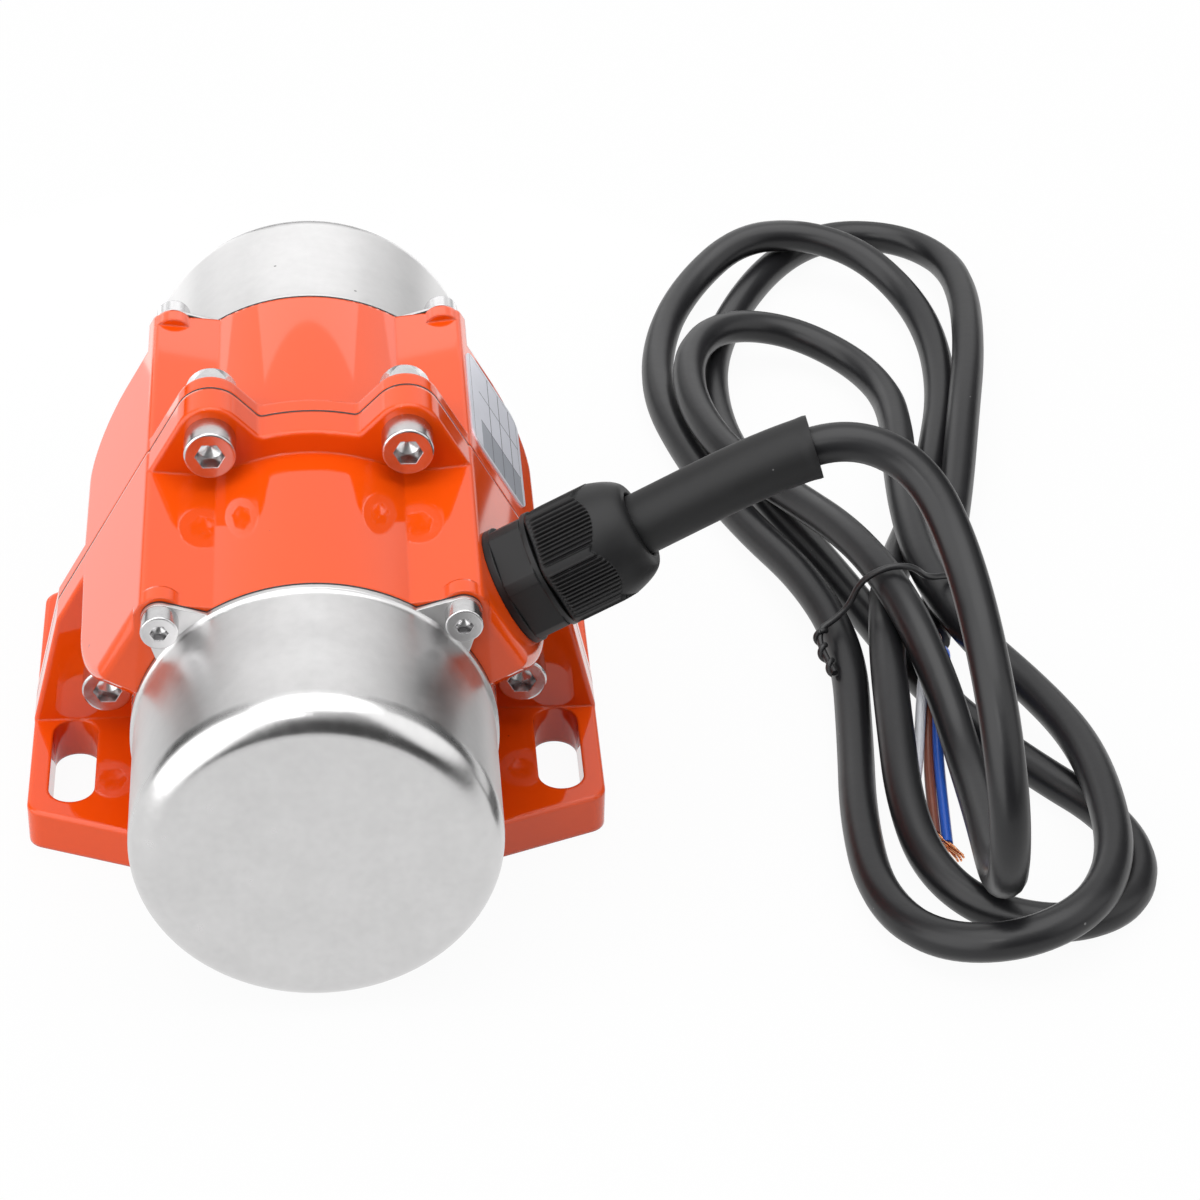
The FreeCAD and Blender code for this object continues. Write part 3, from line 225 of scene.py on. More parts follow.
def line_part(line, start, end, steps):
    """A stretch of a line between two distances along it, at equal steps: each point is the linear mean
    of its two neighbours on the line."""
    run = np.concatenate([[0], np.cumsum(np.linalg.norm(np.diff(line, axis=0), axis=1))])
    at = np.linspace(start, end, steps)
    return np.stack([np.interp(at, run, line[:, k]) for k in range(3)], -1)


def tube_about(name, line, radius, sides=48, hint=(0.0, 1.0, 0.0), closed_ends=True):
    """A tube: ring i is centre + radius(i, angle) * (cos angle * side + sin angle * up), where side and up
    are square to the line's tangent and side is as near to hint as it can be."""
    tangent = np.gradient(line, axis=0)
    tangent /= np.linalg.norm(tangent, axis=1)[:, None]
    side = np.asarray(hint) - tangent * (tangent @ np.asarray(hint))[:, None]
    side /= np.linalg.norm(side, axis=1)[:, None]
    up = np.cross(tangent, side)
    angle = np.linspace(0, 2 * np.pi, sides, endpoint=False)
    reach = np.broadcast_to(radius, (len(line), sides))[..., None]
    across = np.cos(angle)[None, :, None] * side[:, None] + np.sin(angle)[None, :, None] * up[:, None]
    points = line[:, None] + reach * across
    faces = [grid_faces(len(line), sides)]
    if closed_ends:
        first = np.arange(sides)[::-1][None]
        last = (np.arange(sides) + (len(line) - 1) * sides)[None]
        faces += [first, last]
    return mesh_object(name, points.reshape(-1, 3), faces, smooth_angle=40)


def spline_object(name, route, radius, resolution=8):
    """A round bar along one open NURBS spline of order 3, whose control points are the route."""
    curve = bpy.data.curves.new(name, "CURVE")
    curve.dimensions = "3D"
    curve.resolution_u = resolution
    curve.bevel_depth = radius
    curve.bevel_resolution = 6
    curve.use_fill_caps = True
    spline = curve.splines.new("NURBS")
    spline.points.add(len(route) - 1)
    flat = np.concatenate([np.asarray(route), np.ones((len(route), 1))], 1).astype(np.float32)
    spline.points.foreach_set("co", flat.ravel())
    spline.order_u = 3
    spline.use_endpoint_u = True
    obj = bpy.data.objects.new(name, curve)
    bpy.context.scene.collection.objects.link(obj)
    return obj


# Shader groups

def new_group(name, inputs, outputs):
    """An empty node group with named sockets: inputs are (name, kind, default), outputs (name, kind)."""
    group = bpy.data.node_groups.new(name, "ShaderNodeTree")
    for label, kind, value in inputs:
        socket = group.interface.new_socket(name=label, in_out="INPUT", socket_type=kind)
        if value is not None:
            socket.default_value = value
    for label, kind in outputs:
        group.interface.new_socket(name=label, in_out="OUTPUT", socket_type=kind)
    return group, group.nodes.new("NodeGroupInput"), group.nodes.new("NodeGroupOutput")


def node(tree, kind, **values):
    """A new node of a tree, with its own settings."""
    made = tree.nodes.new(kind)
    for key, value in values.items():
        setattr(made, key, value)
    return made


def math_node(tree, operation, a, b=None, clamp=False):
    """The result of one sum, whose terms are sockets or plain numbers."""
    made = node(tree, "ShaderNodeMath", operation=operation, use_clamp=clamp)
    for socket, value in zip(made.inputs, (a, b)):
        if value is None:
            continue
        if isinstance(value, (int, float)):
            socket.default_value = value
        else:
            tree.links.new(value, socket)
    return made.outputs[0]


def mixed_colour(tree, mask, base, colour):
    """The base colour where the mask is nought and the given colour where it is one."""
    mix = node(tree, "ShaderNodeMix", data_type="RGBA")
    first, second = (socket for socket in mix.inputs if socket.type == "RGBA")
    tree.links.new(mask, mix.inputs["Factor"])
    tree.links.new(base, first)
    second.default_value = (*colour, 1)
    return next(socket for socket in mix.outputs if socket.type == "RGBA")


def object_place(tree):
    """The place on the object, as three numbers."""
    place = node(tree, "ShaderNodeTexCoord")
    parts = node(tree, "ShaderNodeSeparateXYZ")
    tree.links.new(place.outputs["Object"], parts.inputs[0])
    return parts.outputs


def mottle_group():
    """Slow change of a value over a surface: two noises of unlike scale, mixed and spread about nought."""
    group, into, out = new_group(
        "surface mottle",
        [("Scale", "NodeSocketFloat", 60.0), ("Amount", "NodeSocketFloat", 0.1),
         ("Stretch", "NodeSocketVector", None)],
        [("Shift", "NodeSocketFloat")])
    place = node(group, "ShaderNodeTexCoord")
    mapping = node(group, "ShaderNodeMapping")
    group.links.new(place.outputs["Object"], mapping.inputs["Vector"])
    group.links.new(into.outputs["Stretch"], mapping.inputs["Scale"])
    total = None
    for factor, weight in ((1.0, 0.6), (4.3, 0.4)):
        noise = node(group, "ShaderNodeTexNoise")
        noise.inputs["Detail"].default_value = 4.0
        group.links.new(mapping.outputs["Vector"], noise.inputs["Vector"])
        scale = math_node(group, "MULTIPLY", into.outputs["Scale"], factor)
        group.links.new(scale, noise.inputs["Scale"])
        centred = math_node(group, "SUBTRACT", noise.outputs["Fac"], 0.5)
        part = math_node(group, "MULTIPLY", centred, weight)
        total = part if total is None else math_node(group, "ADD", total, part)
    group.links.new(math_node(group, "MULTIPLY", total, into.outputs["Amount"]), out.inputs["Shift"])
    return group


def speck_group():
    """Sparse specks: cells whose centre is nearer than a small radius, kept for a share of the cells."""
    group, into, out = new_group(
        "fine specks",
        [("Scale", "NodeSocketFloat", 400.0), ("Radius", "NodeSocketFloat", 0.08),
         ("Share", "NodeSocketFloat", 0.1)],
        [("Mask", "NodeSocketFloat")])
    place = node(group, "ShaderNodeTexCoord")
    cells = node(group, "ShaderNodeTexVoronoi")
    group.links.new(place.outputs["Object"], cells.inputs["Vector"])
    group.links.new(into.outputs["Scale"], cells.inputs["Scale"])
    near = math_node(group, "LESS_THAN", cells.outputs["Distance"], into.outputs["Radius"])
    parts = node(group, "ShaderNodeSeparateColor")
    group.links.new(cells.outputs["Color"], parts.inputs["Color"])
    chosen = math_node(group, "LESS_THAN", parts.outputs["Red"], into.outputs["Share"])
    group.links.new(math_node(group, "MULTIPLY", near, chosen), out.inputs["Mask"])
    return group


def grain_group():
    """Fine relief: a noise drawn out along one axis, as height."""
    group, into, out = new_group(
        "fine grain",
        [("Scale", "NodeSocketFloat", 900.0), ("Stretch", "NodeSocketVector", None)],
        [("Height", "NodeSocketFloat")])
    place = node(group, "ShaderNodeTexCoord")
    mapping = node(group, "ShaderNodeMapping")
    noise = node(group, "ShaderNodeTexNoise")
    noise.inputs["Detail"].default_value = 3.0
    group.links.new(place.outputs["Object"], mapping.inputs["Vector"])
    group.links.new(into.outputs["Stretch"], mapping.inputs["Scale"])
    group.links.new(mapping.outputs["Vector"], noise.inputs["Vector"])
    group.links.new(into.outputs["Scale"], noise.inputs["Scale"])
    group.links.new(noise.outputs["Fac"], out.inputs["Height"])
    return group


MAKERS = {"mottle": mottle_group, "specks": speck_group, "grain": grain_group}
GROUPS = {}


def group_of(name):
    """A shared group, built at its first use."""
    if name not in GROUPS:
        GROUPS[name] = MAKERS[name]()
    return GROUPS[name]


def placed(tree, name, **values):
    """One of the shared groups, placed in a material with its own values."""
    made = node(tree, "ShaderNodeGroup")
    made.node_tree = group_of(name)
    for key, value in values.items():
        made.inputs[key].default_value = value
    return made


def wall_share(tree, reach=0.0835, fade=0.004):
    """One on the caps' walls and nought on their faces: a soft step of the distance |y| from the middle,
    in metres."""
    from_middle = math_node(tree, "ABSOLUTE", object_place(tree)["Y"])
    step = node(tree, "ShaderNodeMapRange", interpolation_type="SMOOTHSTEP")
    ends = {"From Min": reach, "From Max": reach + fade, "To Min": 1.0, "To Max": 0.0}
    for socket, value in ends.items():
        step.inputs[socket].default_value = value
    tree.links.new(from_middle, step.inputs["Value"])
    return step.outputs["Result"]


def plate_rules(tree):
    """Masks of a blank table's thin rules and of its grey first column. A place has a share of the plate's
    length and height. The frame is where the distance to the nearest side is the margin, rows repeat at
    equal shares of the height, and columns stand at given shares of the length."""
    def calc(operation, a, b=None):
        return math_node(tree, operation, a, b)

    low, high = (np.array(corner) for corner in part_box("rating_plate"))
    place = object_place(tree)
    share, near = {}, {}
    for k, axis in ((1, "Y"), (2, "Z")):
        from_low = calc("SUBTRACT", place[axis], float(low[k]))
        share[axis] = calc("DIVIDE", from_low, float(high[k] - low[k]))
        from_middle = calc("ABSOLUTE", calc("SUBTRACT", share[axis], 0.5))
        near[axis] = calc("MULTIPLY", calc("SUBTRACT", 0.5, from_middle), PLATE_SIDES[axis])
    edge = calc("MINIMUM", near["Y"], near["Z"])
    frame_line = calc("LESS_THAN", calc("ABSOLUTE", calc("SUBTRACT", edge, TABLE_MARGIN)), FRAME_RULE)
    below_head = calc("LESS_THAN", share["Z"], TABLE_TOP)
    table = calc("MULTIPLY", calc("GREATER_THAN", edge, TABLE_MARGIN), below_head)
    rules = calc("LESS_THAN", calc("FRACT", calc("DIVIDE", share["Z"], ROW_PITCH)), ROW_RULE)
    for at in TABLE_COLUMNS:
        column = calc("LESS_THAN", calc("ABSOLUTE", calc("SUBTRACT", share["Y"], at)), COLUMN_RULE)
        rules = calc("MAXIMUM", rules, column)
    field = calc("MULTIPLY", calc("LESS_THAN", share["Y"], TABLE_COLUMNS[0]), table)
    return calc("MAXIMUM", frame_line, calc("MULTIPLY", rules, table)), field


def finish(name, colour, roughness, metallic=0.0, coat=0.0, coat_roughness=0.05, specular=0.5,
           mottle=0.08, mottle_scale=60.0, rough_shift=0.1,
           grain=0.1, grain_scale=900.0, grain_stretch=(1, 1, 1), grain_depth=0.00002,
           speck=0.0, speck_colour=(0.02, 0.02, 0.02), speck_scale=400.0, rounding=0.0, wall_rough=0.0):
    """A material: colour shifted by the mottle and by specks, roughness by the mottle and on a cap's wall,
    and relief by the grain over edges rounded by a small radius."""
    material = bpy.data.materials.new(name)
    material.use_nodes = True
    material.diffuse_color = (*colour, 1)
    tree = material.node_tree
    shader = tree.nodes["Principled BSDF"]
    shader.inputs["Metallic"].default_value = metallic
    shader.inputs["Coat Weight"].default_value = coat
    shader.inputs["Coat Roughness"].default_value = coat_roughness
    shader.inputs["Specular IOR Level"].default_value = specular

    change = placed(tree, "mottle", Scale=mottle_scale, Amount=1.0, Stretch=(1, 1, 1))
    bright = node(tree, "ShaderNodeHueSaturation")
    bright.inputs["Color"].default_value = (*colour, 1)
    shade = math_node(tree, "MULTIPLY", change.outputs["Shift"], 2 * mottle)
    tree.links.new(math_node(tree, "ADD", shade, 1.0), bright.inputs["Value"])
    base = bright.outputs["Color"]
    if speck:
        dots = placed(tree, "specks", Scale=speck_scale, Radius=SPECK_RADIUS, Share=speck)
        base = mixed_colour(tree, dots.outputs["Mask"], base, speck_colour)
    tree.links.new(base, shader.inputs["Base Color"])
    shift = math_node(tree, "MULTIPLY", change.outputs["Shift"], rough_shift)
    rough = math_node(tree, "ADD", shift, roughness, True)
    if wall_rough:
        extra = math_node(tree, "MULTIPLY", wall_share(tree), wall_rough)
        rough = math_node(tree, "ADD", rough, extra, True)
    tree.links.new(rough, shader.inputs["Roughness"])

    bump = node(tree, "ShaderNodeBump")
    bump.inputs["Strength"].default_value = grain
    bump.inputs["Distance"].default_value = grain_depth
    height = placed(tree, "grain", Scale=grain_scale, Stretch=grain_stretch)
    tree.links.new(height.outputs["Height"], bump.inputs["Height"])
    if rounding:
        bevel = node(tree, "ShaderNodeBevel", samples=6)
        bevel.inputs["Radius"].default_value = rounding
        tree.links.new(bevel.outputs["Normal"], bump.inputs["Normal"])
        tree.links.new(bevel.outputs["Normal"], shader.inputs["Coat Normal"])
    tree.links.new(bump.outputs["Normal"], shader.inputs["Normal"])
    return material


def dress(material, *names):
    """Puts a material on CAD nodes or on new pieces."""
    for name in names:
        obj = NODES[name] if isinstance(name, str) else name
        obj.data.materials.clear()
        obj.data.materials.append(material)


def keep(obj, slot, *replaced):
    """A new piece rides on the motor's body and stands for CAD nodes. The slot is not used."""
    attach(obj, "motor_body")
    if replaced:
        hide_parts(*replaced)


# What a user would change

class MotorPaint(bpy.types.PropertyGroup):
    """The housing's paint"""
    colour: bpy.props.FloatVectorProperty(
        name="Paint", description="Colour of the housing's paint", subtype="COLOR", size=3,
        min=0, max=1, default=(0.64, 0.059, 0.002))
    gloss: bpy.props.FloatProperty(
        name="Gloss", description="Weight of the clear top of the paint", subtype="FACTOR",
        min=0, max=1, default=1.0)


class MotorSteel(bpy.types.PropertyGroup):
    """The caps' steel"""
    cap_colour: bpy.props.FloatVectorProperty(
        name="Caps", description="Colour of the caps' steel", subtype="COLOR", size=3,
        min=0, max=1, default=(0.63, 0.625, 0.625))
    cap_roughness: bpy.props.FloatProperty(
        name="Cap roughness", description="How dull the caps are", subtype="FACTOR",
        min=0, max=1, default=0.24)


class MotorCable(bpy.types.PropertyGroup):
    """The cable's jacket"""
    diameter: bpy.props.FloatProperty(
        name="Diameter", description="Thickness of the cable's jacket", subtype="DISTANCE", unit="LENGTH",
        default=CABLE_DIAMETER)
    jacket: bpy.props.FloatVectorProperty(
        name="Jacket", description="Colour of the cable's jacket", subtype="COLOR", size=3,
        min=0, max=1, default=(0.008, 0.008, 0.009))


# Pieces

class MOTOR_OT_housing(bpy.types.Operator):
    """Glossy paint on both housing halves, and the black rubber of the gaskets and the gland's seal"""
    bl_idname = "motor.housing"
    bl_label = "Housing"

    def execute(self, context):
        settings = context.scene.motor_paint
        paint = finish("gloss orange paint", tuple(settings.colour), 0.4, coat=settings.gloss,
                       coat_roughness=0.045, specular=0.0,
                       mottle=0.05, mottle_scale=35, rough_shift=0.06,
                       grain=0.16, grain_scale=260, grain_depth=0.00025,
                       speck=0.02, speck_colour=(0.25, 0.03, 0.01), speck_scale=260, rounding=0.0009)
        dress(paint, "housing_front", "housing_rear")
        rubber = finish("black gasket", (0.012, 0.012, 0.012), 0.6, mottle=0.3, mottle_scale=200)
        dress(rubber, "housing_gasket", "cap_gasket_front", "cap_gasket_rear", "gland_seal")
        return {"FINISHED"}


class MOTOR_OT_caps(bpy.types.Operator):
    """Satin steel on both caps"""
    bl_idname = "motor.caps"
    bl_label = "Caps"

    def execute(self, context):
        settings = context.scene.motor_steel
        steel = finish("satin steel sheet", tuple(settings.cap_colour), settings.cap_roughness,
                       metallic=1.0, mottle=0.16, mottle_scale=110, rough_shift=0.22,
                       grain=0.25, grain_scale=420, grain_stretch=(1, 0.25, 1), grain_depth=0.00006,
                       speck=0.03, speck_colour=(0.25, 0.25, 0.25), speck_scale=300,
                       rounding=0.0003, wall_rough=0.14)
        dress(steel, "cap_front", "cap_rear")
        return {"FINISHED"}


class MOTOR_OT_fasteners(bpy.types.Operator):
    """Satin steel on the screws, bolts and nuts"""
    bl_idname = "motor.fasteners"
    bl_label = "Screws, bolts and nuts"

    def execute(self, context):
        steel = finish("satin fastener steel", (0.60, 0.595, 0.60), 0.23, metallic=1.0,
                       mottle=0.2, mottle_scale=300, rough_shift=0.25,
                       grain=0.35, grain_scale=1500, grain_depth=0.00003, rounding=0.0003)
        dress(steel, "cap_screws_front", "cap_screws_rear", "flange_bolts_top", "flange_bolts_low",
              "lock_nuts", "clamp_screw_front", "clamp_screw_rear")
        return {"FINISHED"}


def rules_on(material):
    """Lays the blank table's grey fields and thin rules over the plate's silver."""
    tree = material.node_tree
    shader = tree.nodes["Principled BSDF"]
    rules, fields = plate_rules(tree)
    base = shader.inputs["Base Color"].links[0].from_socket
    base = mixed_colour(tree, fields, base, FIELD_GREY)
    base = mixed_colour(tree, rules, base, RULE_INK)
    tree.links.new(base, shader.inputs["Base Color"])


class MOTOR_OT_plate(bpy.types.Operator):
    """The rating plate with its blank table, on the rear half"""
    bl_idname = "motor.plate"
    bl_label = "Rating plate"

    def execute(self, context):
        silver = finish("bare silver plate", (0.70, 0.71, 0.78), 0.33, metallic=0.6,
                        mottle=0.08, mottle_scale=180,
                        grain=0.2, grain_scale=700, grain_stretch=(1, 8, 1), grain_depth=0.00003)
        rules_on(silver)
        dress(silver, "rating_plate")
        return {"FINISHED"}


class MOTOR_OT_inside(bpy.types.Operator):
    """Stator, rotor, bearings and weights inside the housing"""
    bl_idname = "motor.inside"
    bl_label = "Inner pieces"

    def execute(self, context):
        sheet = finish("electrical sheet", (0.19, 0.19, 0.20), 0.45, metallic=0.9,
                       grain=0.5, grain_scale=400, grain_stretch=(0.2, 6, 0.2), grain_depth=0.0001)
        dress(sheet, "stator_core", "rotor_core")
        winding = finish("varnished winding", (0.36, 0.12, 0.035), 0.3, coat=0.6,
                         mottle=0.35, mottle_scale=150,
                         grain=0.6, grain_scale=300, grain_stretch=(1, 0.2, 1), grain_depth=0.0003)
        dress(winding, "stator_windings")
        ground = finish("ground bearing steel", (0.68, 0.68, 0.68), 0.14, metallic=1.0, grain_scale=2000)
        dress(ground, "bearing_outer_front", "bearing_outer_rear", "bearing_inner_front",
              "bearing_inner_rear", "bearing_balls_front", "bearing_balls_rear")
        brass = finish("pressed brass", (0.60, 0.40, 0.14), 0.3, metallic=1.0, mottle=0.15)
        dress(brass, "bearing_cage_front", "bearing_cage_rear")
        turned = finish("turned steel", (0.50, 0.50, 0.50), 0.26, metallic=1.0,
                        grain=0.3, grain_scale=500, grain_stretch=(0.2, 8, 0.2), grain_depth=0.00004)
        dress(turned, "rotor_shaft", "spacer_sleeves", "weight_keys")
        oiled = finish("oiled plain steel", (0.27, 0.27, 0.275), 0.33, metallic=1.0,
                       mottle=0.3, mottle_scale=90, rough_shift=0.3, rounding=0.0003)
        dress(oiled, "fixed_weight_front", "fixed_weight_rear",
              "adjustable_weight_front", "adjustable_weight_rear")
        spring = finish("dark spring steel", (0.16, 0.16, 0.17), 0.3, metallic=1.0)
        dress(spring, "shaft_clips", "wave_washer")
        cast = finish("cast aluminium", (0.66, 0.66, 0.66), 0.4, metallic=1.0,
                      mottle=0.2, mottle_scale=200)
        dress(cast, "rotor_cage")
        return {"FINISHED"}


def gland_nut():
    """The nut's outside, as radius over angle and height. Up to an arch over each flat it is a hexagon,
    flat / cos(angle from the flat's middle), cut by the corner radius, with ribs that follow
    cos(ribs * angle) on the flats. Over the arch, one step in, it is a dome: a superellipse down to the
    mouth. Four more rings make the bore. Lengths in millimetres."""
    sides, half_flat = 720, np.pi / 6
    flat, corner, rib, foot_inner = 11.05, 12.35, 0.36, 9.4
    rib_count, rib_flatness, rib_edge = 84, 1.6, math.radians(26)
    foot, rib_start, rib_run_in, chamfer = 9.3, 1.0, 0.25, 0.4
    arch_top, arch_fall, step = 21.6, 2.3, 0.2
    top, mouth, swell, fullness = 27.8, 7.5, 5.45, 1.75
    inner, lip, seat = 6.25, 0.5, 18.6

    angle = np.linspace(0, 2 * np.pi, sides, endpoint=False)
    off = (angle + half_flat) % (2 * half_flat) - half_flat
    hexagon = np.minimum(flat / np.cos(off), corner)
    ribs = np.clip(rib_flatness * np.cos(off * rib_count), -1, 1) * rib * (np.abs(off) < rib_edge)
    arch = arch_top - arch_fall * (off / half_flat) ** 2

    chamfer_rise, wall_rise, wall_rows, dome_rows = 0.035, 0.065, 22, 40
    rise = np.concatenate([[0, 0, chamfer_rise], np.linspace(wall_rise, 1, wall_rows)])[:, None]
    wall_height = foot + rise * (arch - foot)
    wall = hexagon + np.clip((wall_height - foot - rib_start) / rib_run_in, 0, 1) * ribs
    wall[1] -= chamfer
    wall[0] = foot_inner

    over = np.sin(np.linspace(0, np.pi / 2, dome_rows))[:, None]
    dome_height = arch + step + over * (top - arch - step)
    share = np.clip((dome_height - foot) / (top - foot), 0, 1)
    dome = mouth + swell * (1 - share**fullness) ** 0.5

    bore = np.repeat([[inner + lip], [inner], [inner], [foot_inner]], sides, axis=1)
    bore_height = np.repeat([[top + 0.1 * lip], [top - lip], [seat], [seat]], sides, axis=1)

    rows = np.concatenate([wall, dome, bore])
    across = np.stack([rows * np.cos(angle), rows * np.sin(angle)], -1)
    points = gland_frame(across, np.concatenate([wall_height, dome_height, bore_height]))
    faces = grid_faces(len(rows), sides, close_rows=True)
    return mesh_object("gland_nut_ribbed", points.reshape(-1, 3), [faces], smooth_angle=50)


class MOTOR_OT_gland(bpy.types.Operator):
    """The cable gland: its ribbed, domed nut is new, the rest is the frame's own"""
    bl_idname = "motor.gland"
    bl_label = "Cable gland"

    def execute(self, context):
        nylon = finish("black moulded nylon", (0.009, 0.009, 0.0095), 0.44, specular=0.28,
                       mottle=0.3, mottle_scale=120, rough_shift=0.2,
                       grain=0.35, grain_scale=800, grain_depth=0.00006,
                       speck=0.03, speck_colour=(0.10, 0.10, 0.10), speck_scale=500, rounding=0.0004)
        dress(nylon, "gland_washer", "gland_body")
        nut = gland_nut()
        dress(nylon, nut)
        keep(nut, "gland_plastic", "gland_nut")
        return {"FINISHED"}


def cable_sleeve(line):
    """The shrunk sleeve along the cable's line: middle + wave * sin(place along) * cos(angle), with an
    uneven bead near the cut, bead * exp(-(distance / width)^2) * (1 + change * sin(3 * angle)). Two
    rings at the end turn the cut in on to the cable. Lengths in millimetres, places as shares."""
    start, end, steps, sides = 24.0, 70.0, 70, 64
    middle, wave, half_waves, wave_start, wave_turn = 6.02, 0.10, 2.3, 0.6, 1.0
    bead, bead_at, bead_width, bead_change = 0.12, 0.985, 0.02, 0.8
    on_cable = np.array([3.9, 3.85])
    turned_in = np.array([0.02, 0.03])

    centre = line_part(line, start, end, steps)
    angle = np.linspace(0, 2 * np.pi, sides, endpoint=False)
    share = np.linspace(0, 1, steps)[:, None]
    radius = middle + wave * np.sin(half_waves * np.pi * share + wave_start) * np.cos(angle + wave_turn)
    lobes = 1 + bead_change * np.sin(3 * angle)
    radius = radius + bead * np.exp(-((share - bead_at) / bead_width) ** 2) * lobes

    last_step = centre[-1] - centre[-2]
    centre = np.concatenate([centre, centre[-1] + turned_in[:, None] * last_step])
    radius = np.concatenate([radius, np.repeat(on_cable[:, None], sides, axis=1)])
    return tube_about("cable_sleeve_shrunk", centre, radius, sides, closed_ends=False)


def core_tips():
    """Bare strands: about the line past each core's end lie fine wires, wire k at angle k / 6 of a turn
    plus a slow twist, spreading as they go, and the last one in the middle. Lengths in millimetres."""
    wires, wire_radius, ring_points, steps = 7, 0.24, 10, 10
    inside, reach, lean = 0.5, 4.8, (0.5, 0, 0)
    spread_first, spread_rise, twist = 0.46, 0.07, 0.25

    along = np.linspace(-inside, reach, steps)
    ring = np.linspace(0, 2 * np.pi, ring_points, endpoint=False)
    round_points = np.arange(ring_points)
    ends = np.stack([round_points[::-1], round_points + ring_points * (steps - 1)])
    points, faces, first = [], [], 0
    for name in CORE_COLOURS:
        route = np.asarray(CORE_ROUTES[name]) / MM
        way = route[-1] - route[-2]
        way = way / np.linalg.norm(way) + lean
        way /= np.linalg.norm(way)
        side = np.cross(way, (0, 0, 1.0))
        side /= np.linalg.norm(side)
        up = np.cross(side, way)
        wall = wire_radius * (np.cos(ring)[None, :, None] * side + np.sin(ring)[None, :, None] * up)
        for k in range(wires):
            spread = (spread_first + spread_rise * np.clip(along, 0, None))[:, None] * (k < wires - 1)
            turn = (2 * np.pi * k / (wires - 1) + twist * along)[:, None]
            middle = route[-1] + along[:, None] * way + spread * (np.cos(turn) * side + np.sin(turn) * up)
            points.append((middle[:, None] + wall).reshape(-1, 3))
            faces += [grid_faces(steps, ring_points) + first, ends + first]
            first += steps * ring_points
    return mesh_object("core_tip_strands", np.concatenate(points), faces, smooth_angle=50)


def tie_tail(line):
    """The tie's twisted tail: the second end of the wire, wound about the last stretch of the tie's own
    line at centre + winding * (cos(turn) * side + sin(turn) * up). Lengths in millimetres."""
    from_end, to_end, steps, turns = 13.5, 0.5, 60, 2.5
    winding, wire_radius = 0.85, 0.6

    run = np.linalg.norm(np.diff(line, axis=0), axis=1).sum()
    centre = line_part(line, run - from_end, run - to_end, steps)
    tangent = np.gradient(centre, axis=0)
    tangent /= np.linalg.norm(tangent, axis=1)[:, None]
    side = np.cross(tangent, (0.0, 1.0, 0.0))
    side /= np.linalg.norm(side, axis=1)[:, None]
    up = np.cross(tangent, side)
    turn = np.linspace(0, turns * 2 * np.pi, steps)[:, None]
    strand = centre + winding * (np.cos(turn) * side + np.sin(turn) * up)
    return tube_about("cable_tie_tail", strand, wire_radius, sides=12, hint=(0.9, 0.1, 0.3))


class MOTOR_OT_cable(bpy.types.Operator):
    """The free cable in its tied bundle, with its sleeve, tie, cores and bare ends"""
    bl_idname = "motor.cable"
    bl_label = "Cable"

    def execute(self, context):
        settings = context.scene.motor_cable
        jacket = finish("satin black jacket", tuple(settings.jacket), 0.34, specular=0.4,
                        mottle=0.25, mottle_scale=90, rough_shift=0.15,
                        grain=0.3, grain_scale=320, grain_depth=0.00012,
                        speck=0.02, speck_colour=(0.12, 0.12, 0.12), speck_scale=350)
        cable = spline_object("cable", CABLE_ROUTE, settings.diameter / 2, resolution=CABLE_STEPS)
        dress(jacket, cable)
        keep(cable, "cable_jacket", "power_cable")

        line = route_line(cable)
        sleeve = cable_sleeve(line)
        shrunk = finish("dull shrunk sleeve", (0.010, 0.010, 0.0105), 0.52, specular=0.3,
                        mottle=0.3, mottle_scale=80, grain=0.5, grain_scale=500, grain_depth=0.00012,
                        speck=0.04, speck_colour=(0.10, 0.10, 0.10), speck_scale=420)
        dress(shrunk, sleeve)
        keep(sleeve, "sleeve_plastic", "cable_sleeve")

        for name, colour in CORE_COLOURS.items():
            core = spline_object(f"{name}_wire", CORE_ROUTES[name], CORE_RADIUS)
            dress(finish(f"{name} insulation", colour, 0.32, mottle=0.12, mottle_scale=300), core)
            keep(core, name, name)
        copper = finish("bare copper", (0.80, 0.36, 0.18), 0.25, metallic=1.0,
                        mottle=0.3, mottle_scale=800)
        tips = core_tips()
        dress(copper, tips)
        keep(tips, "core_copper", "core_tips")

        wire = finish("black tie wire", (0.010, 0.010, 0.011), 0.4, mottle=0.2, mottle_scale=300)
        tie = spline_object("cable_tie_wire", TIE_ROUTE, TIE_RADIUS)
        dress(wire, tie)
        keep(tie, "tie_wire", "cable_tie")
        tail = tie_tail(route_line(tie))
        dress(wire, tail)
        keep(tail, "tie_wire")
        return {"FINISHED"}


# Studio

class MOTOR_OT_stage(bpy.types.Operator):
    """Camera, floor, lamps and surroundings"""
    bl_idname = "motor.stage"
    bl_label = "Stage"

    def execute(self, context):
        scene = context.scene
        add_camera(scene)
        add_floor()
        for lamp in LAMPS:
            add_lamp(*lamp)
        add_world(scene)
        scene.view_settings.view_transform = "Standard"
        return {"FINISHED"}


